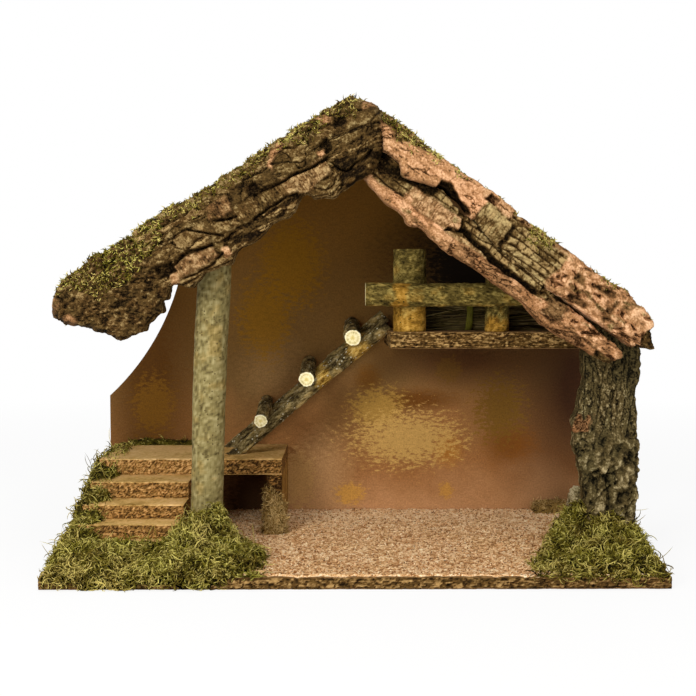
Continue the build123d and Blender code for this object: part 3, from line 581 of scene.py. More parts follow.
@dataclass(frozen=True)
class Grained:
    """Dry natural stuff, coloured from its hollows to its crests, with a second set of colours as accent."""

    name: str
    shades: tuple[str, str, str]  # Colours of a hollow, of the body and of a crest
    accent: tuple[str, str, str]  # The same three where the accent tone is 1
    kin: str = "#808080"  # Colour that single plates, chips or strands lean to, by their chance
    kin_share: float = 0.0  # How far they lean
    # Size of the fine grain along x, y and z
    grain_mm: tuple[float, float, float] = (1.0, 1.0, 1.0)
    grain_depth: float = 0.3  # How far the grain shifts a colour from hollow to crest; 0 leaves it out
    fleck: str = "#808080"  # Colour of round flecks
    fleck_mm: float = 2.0  # Distance between flecks
    fleck_share: float = 0.0  # Share of the places that have one
    bump_mm: float = 0.3  # Height of the grain
    roughness: float = 0.85

    @cache
    def material(self) -> bpy.types.Material:
        """The finish as a material, made once."""
        made, tree = blank_material(self.name)
        crest, accent, chance = (
            add(tree, "Attribute", out="Fac", attribute_name=label) for label in TONES
        )
        shader = {"Roughness": self.roughness, "Specular IOR Level": DRY_SHEEN}
        place = add(tree, "TexCoord", out="Object")
        if self.grain_depth:
            scale = [per_metre(size) for size in self.grain_mm]
            spread = add(tree, "Mapping", {"Vector": place, "Scale": scale})
            grain = add(tree, "TexNoise", {"Vector": spread, "Scale": 1.0, "Detail": 4.0, "Roughness": 0.65})
            limits = {"From Min": 0.25, "From Max": 0.75}
            shift = add(tree, "MapRange", {
                "Value": grain, "To Min": -self.grain_depth, "To Max": self.grain_depth, **limits,
            })
            crest = add(tree, "Math", {0: crest, 1: shift}, operation="ADD")
            rough = (self.roughness + 0.1, self.roughness - 0.1)
            shader["Roughness"] = add(tree, "MapRange", {
                "Value": grain, "To Min": rough[0], "To Max": rough[1], **limits,
            })
            shader["Normal"] = add(tree, "Bump", {
                "Strength": 0.6, "Distance": self.bump_mm * MM, "Height": grain,
            })
        colours = []
        for hollow, body, top in (self.shades, self.accent):
            stops = ((0.0, hollow), (0.5, body), (1.0, top))
            colours.append(add(tree, "ValToRGB", {"Fac": crest}, stops=stops))
        colour = add(tree, "Mix", {FACTOR: accent, FIRST: colours[0], SECOND: colours[1]}, **COLOUR_MIX)
        if self.kin_share:
            lean = add(tree, "Math", {0: chance, 1: self.kin_share}, operation="MULTIPLY")
            leaning = {FACTOR: lean, FIRST: linear("#ffffff"), SECOND: linear(self.kin)}
            tinted = {FACTOR: 1.0, FIRST: colour, SECOND: add(tree, "Mix", leaning, **COLOUR_MIX)}
            colour = add(tree, "Mix", tinted, blend_type="MULTIPLY", **COLOUR_MIX)
        if self.fleck_share:
            spots = {"Vector": place, "Scale": per_metre(self.fleck_mm)}
            away = add(tree, "TexVoronoi", spots, "Distance")
            lot = add(tree, "SeparateColor", {"Color": away.node.outputs["Color"]})
            close = add(tree, "MapRange", {"Value": away, "From Min": 0.45, "From Max": 0.3})
            drawn = add(tree, "Math", {0: lot, 1: self.fleck_share}, operation="LESS_THAN")
            mask = add(tree, "Math", {0: close, 1: drawn}, operation="MULTIPLY")
            flecked = {FACTOR: mask, FIRST: colour, SECOND: linear(self.fleck)}
            colour = add(tree, "Mix", flecked, **COLOUR_MIX)
        surface = add(tree, "BsdfPrincipled", {"Base Color": colour, **shader})
        add(tree, "OutputMaterial", {"Surface": surface})
        return made


# Cork oak bark: dry and dead matt, grey-brown outside, salmon where a flake has split off
CORK_BARK = Grained(
    "virgin_cork", ("#0f0700", "#564120", "#b09a68"), ("#2e1905", "#a3774e", "#f1c297"),
    kin="#c79a74", kin_share=0.4, grain_mm=(1.2, 1.2, 1.2), bump_mm=0.4, roughness=0.9,
)
# Weathered cork of the post: the same bark, greyer, as it has stood in the open
WEATHERED_CORK = replace(
    CORK_BARK, name="weathered_cork", shades=("#0c0a03", "#594d2e", "#baac82"), kin="#c7a888",
)
# Hazel bark: thin and smooth, olive-grey with dark pores that give it a dull sheen
HAZEL_BARK = Grained(
    "hazel_bark", ("#41351a", "#7d7045", "#a3976a"), ("#3c3213", "#86692c", "#b48e46"),
    grain_mm=(0.9, 0.9, 6.0), grain_depth=0.17, fleck="#57492a", fleck_mm=1.7, fleck_share=0.09,
    bump_mm=0.15, roughness=0.7,
)
# Rough twig bark: dark, scaly, with pale lichen flecks
TWIG_BARK = Grained(
    "twig_bark", ("#1c1407", "#5b4c2b", "#8c7d58"), ("#4d3208", "#a5823a", "#c9a862"),
    grain_mm=(1.1, 1.1, 1.1), grain_depth=0.35, fleck="#a79f85", fleck_mm=1.8, fleck_share=0.13,
    bump_mm=0.4,
)
# Lichened branch of the loft: yellow-green powder over dark bark
LICHEN_BARK = Grained(
    "lichen_bark", ("#201a06", "#5c4d22", "#9e8a4a"), ("#40290a", "#8a6420", "#bc9244"),
    grain_mm=(2.8, 0.9, 0.9), grain_depth=0.36, fleck="#3c3210", fleck_mm=1.5, fleck_share=0.12,
)
# Sawn end of a branch: pale dry wood with faint rings round a yellow core
CUT_WOOD = Grained(
    "cut_wood", ("#bfab6c", "#f1e3ac", "#fff8da"), ("#a8924a", "#e4cf80", "#f6e6a2"),
    grain_mm=(0.7, 0.7, 0.7), grain_depth=0.25, bump_mm=0.15, roughness=0.8,
)
# Chipboard: sanded ochre faces, and sawn edges with open dark gaps between pressed chips
CHIPBOARD = Grained(
    "chipboard", ("#7c5a20", "#cba764", "#ecce94"), ("#281503", "#96703a", "#dcb477"),
    kin="#d0a070", kin_share=0.4, grain_mm=(1.6, 1.0, 0.7), grain_depth=0.2, bump_mm=0.2, roughness=0.8,
)
# Stained chipboard: the same board with a dark brown wash on its edges
STAINED_CHIPBOARD = Grained(
    "stained_chipboard", ("#3a260e", "#775a34", "#9a7c54"), ("#140a00", "#644922", "#c6a66c"),
    kin="#b08a5c", kin_share=0.5, grain_mm=(2.4, 1.0, 0.7), bump_mm=0.25, roughness=0.8,
)
# Sawdust: coarse loose grains, each its own shade of fresh wood; drawn a little coarse, so that grains show
SAWDUST = Grained(
    "pine_sawdust", ("#8f6030", "#e2b27c", "#fff0ca"), ("#7d5530", "#daab72", "#fbe2b6"),
    kin="#c89e74", kin_share=0.5, grain_mm=(1.1, 1.1, 1.1), grain_depth=0.75,
    fleck="#6e4a2b", fleck_mm=1.7, fleck_share=0.12, bump_mm=0.5, roughness=0.9,
)
# Dry grass: brown straw litter
DRY_GRASS = Grained(
    "dry_grass", ("#2a1a08", "#8c6c38", "#cbac70"), ("#2a1a04", "#7f6430", "#b39858"),
    grain_depth=0.0, roughness=0.8,
)
# Dried moss: matt strands, dark brown at the root and yellow-green to straw at the tip
MOSS = Grained(
    "dried_moss", ("#130e00", "#69581c", "#cbb768"), ("#171400", "#786f20", "#d0c468"),
    grain_depth=0.0, roughness=0.8,
)
# Brushwood: thin dark dry stems
BRUSHWOOD = Grained(
    "dry_brushwood", ("#1d150a", "#4b3b22", "#7a6744"), ("#2a230c", "#6a5c30", "#a08d5c"),
    grain_depth=0.0, roughness=0.75,
)
# Raffia band: flat yellow-green fibre with a slight gloss
RAFFIA = Grained(
    "raffia", ("#35320a", "#625d1c", "#8a8436"), ("#35320a", "#625d1c", "#8a8436"),
    grain_mm=(0.6, 4.0, 4.0), bump_mm=0.2, roughness=0.55,
)
# Sandstone: grey-tan grit bound with glue
SANDSTONE = Grained(
    "glued_sand", ("#2a2210", "#736643", "#b8aa86"), ("#2a2210", "#736643", "#b8aa86"),
    grain_mm=(0.8, 0.8, 0.8), grain_depth=0.5, fleck="#b9ab87", fleck_mm=1.6, fleck_share=0.18,
    bump_mm=0.5, roughness=0.9,
)


@dataclass(frozen=True)
class PaintAndLightPatch:
    """Patch of colour on the wall, mostly sponged paint and in places painted shade and painted light:
    middle, half sizes, colour, how much it covers and how raggedly.
    """

    x: float
    z: float
    half_width: float
    half_height: float
    colour: str
    cover: float
    ragged: float = 0.75


@dataclass(frozen=True)
class PaintedHardboard:
    """Hardboard with sponged paint and patches of painted shade and light on its room side, and a raw brown
    back.
    """

    name: str
    high: str = "#865d24"  # Colour at the top of the wall
    middle: str = "#795a31"  # Colour at half height
    low: str = "#936337"  # Colour a hand above the floor
    foot: str = "#b08054"  # Colour at the floor
    raw: tuple[str, str] = ("#5d4021", "#8a6740")  # Shades of the raw board
    face: float = 98.5  # The y that parts the painted face from the raw back
    paint_and_light_patches: tuple[PaintAndLightPatch, ...] = ()  # Patches of other colours: sponged paint, painted shade and painted light
    levels: Span = (10.0, 260.0)  # Heights of the lowest and of the highest colour
    cloud_mm: float = 55.0  # Size of the clouds that shift the colours up and down
    sponge_mm: float = 3.2  # Size of the sponge's marks
    fibre_mm: float = 1.2  # Spacing of the board's pressed fibre

    @cache
    def material(self) -> bpy.types.Material:
        """The finish as a material, made once."""
        made, tree = blank_material(self.name)
        place = add(tree, "TexCoord", out="Object")
        axes = add(tree, "SeparateXYZ", {"Vector": place}).node.outputs
        cloud = add(tree, "TexNoise", {"Vector": place, "Scale": per_metre(self.cloud_mm), "Detail": 3.0})
        stroke = add(tree, "Mapping", {
            "Vector": place, "Rotation": (0.0, 0.6, 0.0), "Scale": (0.6, 1.0, 1.3),
        })
        sponge = add(tree, "TexNoise", {
            "Vector": stroke, "Scale": per_metre(self.sponge_mm), "Detail": 9.0, "Roughness": 0.72,
        })
        marks = {"From Min": 0.3, "From Max": 0.7}
        drift = add(tree, "MapRange", {"Value": cloud, "To Min": -0.05, "To Max": 0.05})
        height = add(tree, "Math", {0: axes["Z"], 1: drift}, operation="ADD")
        foot, head = (level * MM for level in self.levels)
        level = add(tree, "MapRange", {"Value": height, "From Min": foot, "From Max": head})
        stops = ((0.0, self.foot), (0.16, self.low), (0.45, self.middle), (1.0, self.high))
        colour = add(tree, "ValToRGB", {"Fac": level}, stops=stops)
        for painted_patch in self.paint_and_light_patches:
            middle = (painted_patch.x * MM, 0.0, painted_patch.z * MM)
            shrink = (per_metre(painted_patch.half_width), 0.0, per_metre(painted_patch.half_height))
            away = add(tree, "VectorMath", {0: place, 1: middle}, operation="SUBTRACT")
            away = add(tree, "VectorMath", {0: away, 1: shrink}, operation="MULTIPLY")
            away = add(tree, "VectorMath", {0: away}, "Value", operation="LENGTH")
            worn = add(tree, "MapRange", {
                "Value": sponge, "To Min": painted_patch.ragged, "To Max": -painted_patch.ragged, **marks,
            })
            away = add(tree, "Math", {0: away, 1: worn}, operation="ADD")
            full = min(0.05 + painted_patch.ragged, 0.7)
            cover = add(tree, "MapRange", {
                "Value": away, "From Min": 1.1, "From Max": full, "To Max": painted_patch.cover,
            })
            painted = {FACTOR: cover, FIRST: colour, SECOND: linear(painted_patch.colour)}
            colour = add(tree, "Mix", painted, **COLOUR_MIX)
        shade = add(tree, "MapRange", {"Value": sponge, "To Min": 0.82, "To Max": 1.14, **marks})
        colour = add(tree, "VectorMath", {0: colour, "Scale": shade}, operation="SCALE")
        fibre = add(tree, "TexNoise", {"Vector": place, "Scale": per_metre(self.fibre_mm), "Detail": 4.0})
        speck = add(tree, "MapRange", {"Value": fibre, "To Min": 0.8, "To Max": 1.2, **marks})
        colour = add(tree, "VectorMath", {0: colour, "Scale": speck}, operation="SCALE")
        stops = ((0.3, self.raw[0]), (0.7, self.raw[1]))
        raw = add(tree, "ValToRGB", {"Fac": fibre}, stops=stops)
        rear = add(tree, "Math", {0: axes["Y"], 1: self.face * MM}, operation="GREATER_THAN")
        colour = add(tree, "Mix", {FACTOR: rear, FIRST: colour, SECOND: raw}, **COLOUR_MIX)
        bump = add(tree, "Bump", {"Strength": 0.35, "Distance": 0.25 * MM, "Height": sponge})
        rough = add(tree, "MapRange", {"Value": sponge, "To Min": 0.62, "To Max": 0.82})
        surface = add(tree, "BsdfPrincipled", {
            "Base Color": colour, "Roughness": rough, "Normal": bump, "Specular IOR Level": DRY_SHEEN,
        })
        add(tree, "OutputMaterial", {"Surface": surface})
        return made


@dataclass(frozen=True)
class BrightSteel:
    """Drawn steel of brads and nails: grey metal with fine scratches and dull spots."""

    name: str = "bright_steel"
    colour: str = "#8d8b86"
    dull: str = "#5f5a52"
    scratch_mm: float = 0.4

    @cache
    def material(self) -> bpy.types.Material:
        """The finish as a material, made once."""
        made, tree = blank_material(self.name)
        place = add(tree, "TexCoord", out="Object")
        spots = add(tree, "TexNoise", {"Vector": place, "Scale": per_metre(self.scratch_mm), "Detail": 3.0})
        colour = add(tree, "ValToRGB", {"Fac": spots}, stops=((0.35, self.dull), (0.65, self.colour)))
        rough = add(tree, "MapRange", {"Value": spots, "To Min": 0.55, "To Max": 0.3})
        surface = add(tree, "BsdfPrincipled", {"Base Color": colour, "Metallic": 1.0, "Roughness": rough})
        add(tree, "OutputMaterial", {"Surface": surface})
        return made


class Bark(Enum):
    """Kinds of cork surface."""

    FURROWED = "long plates between deep furrows"
    LAYERED = "thin wavy layers on edge"
    FLAKED = "smooth inner face with the rims of split layers"
    BLOCKY = "courses of small square blocks"
    PITTED = "spongy inner cork with pits"
    HATCHED = "flat plate with a net of fine cracks"
    LUMPY = "small rough lumps"


@dataclass(frozen=True)
class Zone:
    """Stretch of cork of one kind, with soft ragged limits, in millimetres along and across the slab."""

    bark: Bark  # Kind of surface
    along: Span = ENDLESS  # Limits along the slab
    across: Span = ENDLESS  # Limits across it
    lift: float = 0.0  # How far it stands out
    salmon: float = 0.0  # How much of it is bare salmon cork
    soft: float = 1.2  # Half width of its limits
    shade: float = 0.0  # Added to its crest tone: the bark's own lighter and darker colour, and painted shade in clefts, hollows and under overhangs
    line: Knots = ((0.0, 0.0), (1.0, 0.0))  # (along, across) knots that its limits across are measured from
    size: float = 1.0  # Size of its plates, as a share of the usual one

    def share(self, along: Array, across: Array) -> Array:
        """How far each place lies in the zone: the product of a rise and a fall along and across.

        Args:
            along: Places along the slab.
            across: Places across it.

        Returns:
            Numbers from 0 outside to 1 inside.
        """
        share = np.ones_like(along)
        from_line = across - through(self.line, along)
        for value, (low, high) in ((along, self.along), (from_line, self.across)):
            share *= ease(low - self.soft, low + self.soft, value)
            share *= 1.0 - ease(high - self.soft, high + self.soft, value)
        return share

    def relief(self, along: Array, across: Array, seed: int) -> tuple[Array, Array, Array]:
        """Height of the bark, from cell, course or wave patterns that a slow noise bends.

        Args:
            along: Places along the slab.
            across: Places across it.
            seed: Which slab.

        Returns:
            Height in millimetres, the crest tone and the plate's own random number.
        """
        grid = joined(along, across) / self.size
        warp = noise(grid / (26.0, 14.0), 3, seed)[..., None]
        rough = noise(grid / (3.6, 2.6), 3, seed + 7)
        crumb = noise(grid / (1.5, 1.3), 2, seed + 8)
        fray = 0.12 * rough[..., None]
        open_share = ease(-0.3, 0.35, noise(grid / (8.0, 6.0), 2, seed + 9))
        # The crest tone falls in furrows, cracks and pits: the bark's own darker colour there, and painted
        # shade in them
        match self.bark:
            case Bark.FURROWED:
                plates, chips = (44.0, 8.5), (7.0, 2.4)
                edge, tilt, chance = cells(grid / plates + 0.7 * warp + 0.5 * fray, plates, seed + 11)
                chip_edge, _, chip = cells(grid / chips + 0.5 * warp + fray, chips, seed + 15)
                furrow = ease(0.1, 1.3, edge)
                crack = 1.0 - (1.0 - ease(0.05, 0.45, chip_edge)) * open_share
                height = 2.4 * (furrow - 1.0) + (1.6 * (chance - 0.5) + 1.5 * tilt) * furrow
                height += 0.6 * (crack - 1.0) + 0.6 * (chip - 0.5) + 0.5 * rough + 0.25 * crumb
                crest = (0.06 + 0.48 * ease(0.2, 1.2, edge)) * (0.35 + 0.65 * crack)
                crest += 0.24 * (chip - 0.4) + 0.25 * (chance - 0.5) + 0.16 * rough + 0.12 * crumb
            case Bark.LAYERED:
                bends = noise(grid / (30.0, 11.0), 2, seed + 3)
                flow = (across - 0.15 * along) / 2.4 + 1.6 * bends + 0.3 * rough
                level = np.floor(flow)
                chance = chances(level[..., None], seed)
                breaks = ease(-0.25, 0.0, noise(grid / (10.0, 2.2), 2, seed + 5))
                lip = ease(0.0, 0.3, flow - level) * breaks
                height = 1.6 * lip * (0.4 + chance) + 1.4 * warp[..., 0] + 0.6 * rough + 0.25 * crumb
                crest = 0.03 + 0.46 * lip * (0.5 + chance) + 0.2 * rough + 0.12 * crumb
            case Bark.FLAKED:
                level = 2.0 * noise(grid / (34.0, 15.0), 3, seed + 3)
                lip = ease(0.0, 0.06, level - np.floor(level))
                flakes, chips = (17.0, 7.5), (6.5, 2.8)
                edge, _, chance = cells(grid / flakes + 0.9 * warp + 1.5 * fray, flakes, seed + 5)
                chip_edge, _, _ = cells(grid / chips + 0.8 * warp + 1.5 * fray, chips, seed + 17)
                split = ease(-0.35, 0.2, noise(grid / (15.0, 9.0), 2, seed + 9))
                crack = 1.0 - (1.0 - ease(0.05, 0.55, edge)) * split
                chipped = ease(0.3, 0.8, warp[..., 0])
                crack = np.minimum(crack, 1.0 - (1.0 - ease(0.05, 0.45, chip_edge)) * chipped)
                streak = noise(grid / (8.0, 1.6), 2, seed + 13)
                height = 0.8 * (np.floor(level) + lip) + 0.14 * rough + 0.8 * (crack - 1.0) + 0.1 * crumb
                crest = -0.42 + 0.34 * lip + 0.7 * crack + 0.16 * streak + 0.1 * rough + 0.3 * (chance - 0.5)
            case Bark.BLOCKY:
                blocks = (6.4, 4.7)
                places = grid / blocks + (0.6, 0.4) * warp + (1.4, 0.7) * fray
                to_end, to_side, chance = courses(places, blocks, seed + 3)
                course, joint = ease(0.1, 0.7, to_side), ease(0.05, 0.5, to_end)
                crack = course * (1.0 - (0.55 + 0.4 * chance) * (1.0 - joint))
                height = 1.7 * (crack - 1.0) + 1.0 * (chance - 0.5) + 1.4 * warp[..., 0]
                height += 0.5 * rough + 0.3 * crumb
                crest = 0.56 * crack * (0.75 + 0.4 * chance) + 0.26 * rough + 0.16 * crumb
            case Bark.PITTED:
                pores = (6.2, 3.8)
                edge, _, chance = cells(grid / pores + 1.1 * warp + 2.0 * fray, pores, seed + 3)
                pit = ease(0.74, 0.8, chance) * ease(0.4, 1.1, edge)
                crack = 1.0 - (1.0 - ease(0.05, 0.45, edge)) * open_share
                height = 1.3 * warp[..., 0] - 2.2 * pit + 0.5 * rough + 0.5 * (crack - 1.0) + 0.25 * crumb
                crest = -0.02 + 0.2 * warp[..., 0] + 0.24 * rough - 0.6 * pit + 0.38 * crack
                crest += 0.3 * (np.minimum(chance, 0.7) - 0.3) + 0.14 * crumb
            case Bark.HATCHED:
                chips = (1.9, 6.0)
                edge, _, chance = cells(grid / chips + (0.2, 0.5) * warp + 0.8 * fray, chips, seed + 3)
                crack = 1.0 - (1.0 - ease(0.02, 0.4, edge)) * (0.25 + 0.75 * open_share)
                height = 0.5 * (crack - 1.0) + 1.0 * warp[..., 0] + 0.4 * rough + 0.2 * crumb
                crest = 0.12 + 0.34 * crack + 0.22 * rough + 0.2 * (chance - 0.5) + 0.14 * crumb
            case _:
                lumps = (6.4, 4.6)
                edge, _, chance = cells(grid / lumps + 0.8 * warp + 2.4 * fray, lumps, seed + 3)
                crack = 1.0 - (1.0 - ease(0.05, 0.9, edge)) * (0.2 + 0.8 * open_share)
                height = 1.5 * (crack - 1.0) + 1.5 * (chance - 0.5) + 1.3 * rough + 0.5 * crumb
                crest = 0.02 + 0.38 * crack + 0.32 * rough + 0.2 * (chance - 0.4) + 0.16 * crumb
        return height * self.size, crest, chance


@dataclass
class CorkSlab:
    """Slab of cork bark: a closed cross-section carried along the slope, with relief along its normals."""

    node: str
    side: Side
    front: float  # The y of its outer face
    top: Knots  # Upper edge as (along, above) knots
    bottom: Knots  # Lower edge as (along, above) knots
    start: Knots  # Upper end as (above, along) knots
    tip: Knots  # Lower end as (above, along) knots
    zones: tuple[Zone, ...]  # Kinds of bark, the first one everywhere
    seed: int
    back: float = ROOF_FRONT  # The y of its inner face
    capped: bool = True  # Whether it lies over the panel's front edge
    rounding: float = 7.0  # Length over which the ends thin out
    bulge: float = 0.8  # How far the outer face swells between its edges
    ragged: float = 1.2  # How far its edges stray
    spacing: float = 0.62  # Distance between grid points
    # Share of the relief along x, y and z, so that it roughens the face more than the outline
    push: tuple[float, float, float] = (0.5, 1.0, 0.5)
    finish: Grained = CORK_BARK
    grid: Array = field(init=False, repr=False)  # Outer surface, for what grows on it
    along: Array = field(init=False, repr=False)  # Place of each grid point along the slope
    # Place of each grid point across the slab, carried on over its edges
    across: Array = field(init=False, repr=False)

    def place(self, along: Array, above: Array, depth: Array) -> Array:
        """Points of the slab in the stable's frame."""
        return self.side.place(along, above, depth)

    def loop(self) -> Array:
        """Samples of the cross-section.

        Returns:
            Columns: depth behind the front, a typical height, shares of the lower and of the upper edge,
            distance carried on over the edges, and share of the relief.
        """
        low = float(np.mean([above for _, above in self.bottom]))
        high = float(np.mean([above for _, above in self.top]))
        deep, cap = self.back - self.front, CAP_BACK - self.front
        corners = [(0, low, 1, 0, 0, 1), (0, high, 0, 1, 0, 1)]
        spacings = [self.spacing, 1.4 * self.spacing]
        if self.capped:
            corners += [(cap, high, 0, 1, cap, 0.7), (cap, 0, 0, 0, cap, 0), (deep, 0, 0, 0, cap, 0)]
            spacings += [3.0, 3.0, 2.0]
        else:
            corners += [(deep, high, 0, 1, deep, 0.5)]
            spacings += [1.6]
        corners += [(deep, low, 1, 0, -deep, 0.5)]
        spacings += [1.2 * self.spacing]
        return sample_loop(np.array(corners, float), spacings, 3)

    def relief(self, along: Array, across: Array) -> tuple[Array, Array]:
        """Height and tones of all zones, each laid over those before it by its share.

        Args:
            along: Places along the slab.
            across: Places across it.

        Returns:
            Height in millimetres, and tones.
        """
        grid = joined(along, across)
        ragged = noise(grid / (11.0, 8.0), 3, self.seed + 90)
        total = np.zeros((*along.shape, 4))
        for number, zone in enumerate(self.zones):
            share = zone.share(along + 2.0 * ragged, across + 1.2 * ragged)
            inside = share > 0.0
            spots = grid[inside]
            height, crest, chance = zone.relief(*spots.T, self.seed + 100 * number)
            bare = zone.salmon * ease(-1.15, -0.7, noise(spots / (13.0, 4.5), 4, self.seed + 60 + number))
            layer = joined(height + zone.lift, crest + zone.shade, bare, chance)
            total[inside] += share[inside, None] * (layer - total[inside])
        return total[..., 0], total[..., 1:]

    def build(self) -> bpy.types.Object:
        """Makes the slab: s runs from the upper to the lower end, and each loop between the two edges.

        Returns:
            The new piece.
        """
        first = min(along for _, along in self.start)
        last = max(along for _, along in self.tip)
        u = np.linspace(0.0, 1.0, int((last - first) / self.spacing))[:, None]
        rough_along = first + (last - first) * u
        depth, _, low, high, sweep, weight = self.loop().T
        above = low * through(self.bottom, rough_along) + high * through(self.top, rough_along)
        along = through(self.start, above) * (1.0 - u) + through(self.tip, above) * u
        edge = noise(joined(along / 7.0, above / 30.0), 3, self.seed + 50)
        above = above + self.ragged * edge * np.abs(high - low)
        middle = np.where(low + high > 0.0, high / np.maximum(low + high, 1e-6), 1.0)
        swell = self.bulge * (1.0 - (2.0 * middle - 1.0) ** 2) * (depth < 2.0)
        thin = ease(0.0, 1.0, np.minimum(u, 1.0 - u) * (last - first) / max(self.rounding, 0.1))
        thin = 0.45 + 0.55 * np.sqrt(thin) if self.rounding else np.ones_like(thin)
        y = self.front + depth - swell
        y = np.where(y < self.back, self.back + (y - self.back) * thin, y)
        points = self.place(along, above, y)
        across = above + sweep
        height, tone = self.relief(along, across)
        points = points + normals_of(points, True) * (height * weight)[..., None] * self.push
        self.grid, self.along, self.across = points, along, across
        return add_piece(self.node, [ring_patch(points, tone)], [self.finish], [self.node])


@dataclass
class CorkPost(CorkSlab):
    """Upright cork slab: along it is z, and across it is x."""

    outer_side: float = 199.0  # The x of its outer side
    # How far its inner side leans to the outer one on the way back, as a share of the depth
    slant: float = 0.15
    finish: Grained = WEATHERED_CORK

    def place(self, along: Array, above: Array, depth: Array) -> Array:
        """Points of the post in the stable's frame."""
        lean = self.slant * (depth - self.front) * (self.outer_side - above) / POST_WIDTH
        return joined(above + lean, depth, along)


@dataclass
class Branch:
    """Round branch: rings of a tapering radius along a line, closed by sawn ends."""

    node: str
    start: tuple[float, float, float]  # Middle of its first end
    end: tuple[float, float, float]  # Middle of its second end
    diameters: tuple[float, float]  # Diameters at the two ends
    finish: Grained
    seed: int
    wander: float = 0.5  # How far its middle line strays
    floor: float = -1e4  # Height that it stands on
    # (share of the length, width in shares) of stretches with the accent colours
    accents: tuple[Span, ...] = ()
    knots: int = 3  # How many side-shoot scars it has
    rough: float = 0.35  # Height of its bumps
    blotch: float = 0.5  # How much its bumps differ in colour
    spacing: float = 1.0  # Distance between rings
    facets: int = 40  # Points of each ring

    def build(self) -> bpy.types.Object:
        """Makes the branch: middle line + radius (1 + bumps) (cos, sin) in the plane across it.

        Returns:
            The new piece.
        """
        start, end = np.array(self.start, float), np.array(self.end, float)
        length = np.linalg.norm(end - start)
        run = (end - start) / length
        side = unit(np.cross(run, (0.31, 0.87, 0.38)))
        other = np.cross(run, side)
        inner = np.array([0.12, 0.4, 0.7, 0.93])
        tube = np.linspace(0.0, 1.0, max(12, int(length / self.spacing)))
        t = np.concatenate([0 * inner, tube, 0 * inner + 1.0])[:, None]
        scale = np.concatenate([inner, 0 * tube + 1.0, inner[::-1]])[:, None]
        angle = circle(self.facets)[None, :]
        spots = joined(np.cos(angle) * 1.6, np.sin(angle) * 1.6, t * length / 9.0)
        bumps = noise(spots, 4, self.seed)
        fine = noise(spots * 4.0, 3, self.seed + 9)
        rng = np.random.default_rng(self.seed)
        radius = (self.diameters[0] + (self.diameters[1] - self.diameters[0]) * t) / 2.0
        swell = self.rough * (bumps + 0.6 * fine)
        for place, heading in rng.uniform((0.08, 0.0), (0.92, 2.0 * math.pi), (self.knots, 2)):
            off_round = 2.0 * np.sin((angle - heading) / 2.0) * radius
            away = ((t - place) * length / 4.0) ** 2 + (off_round / 4.0) ** 2
            swell = swell + 1.3 * np.exp(-away) - 1.1 * np.exp(-5.0 * away)
        sway = [self.wander * noise(t * length / 45.0, 2, self.seed + step) for step in (20, 30)]
        middle = start + (end - start) * t + sway[0][:, None] * side + sway[1][:, None] * other
        ring = np.cos(angle)[..., None] * side + np.sin(angle)[..., None] * other
        points = middle[:, None] + ((radius + swell) * scale)[..., None] * ring
        points[..., 2] = np.clip(points[..., 2], self.floor, roof_underside(points[..., 0]))
        crest = 0.5 + self.blotch * bumps + 0.4 * fine
        accent = 0.35 * ease(0.1, 0.7, bumps)
        for place, width in self.accents:
            accent = accent + ease(1.0, 0.4, np.abs(t - place) / width + 0.5 * bumps)
        cut = scale < 1.0
        crest = np.where(cut, 0.55 + 0.3 * np.cos(scale * 14.0) + 0.3 * fine, crest)
        accent = np.where(cut, ease(0.5, 0.2, scale), accent)
        tone = joined(crest, accent, fine)
        wears = np.zeros(len(t) - 1, int)
        wears[: len(inner)] = wears[-len(inner) :] = 1
        patch = ring_patch(points, tone, wears)
        return add_piece(self.node, [patch], [self.finish, CUT_WOOD], [self.node])


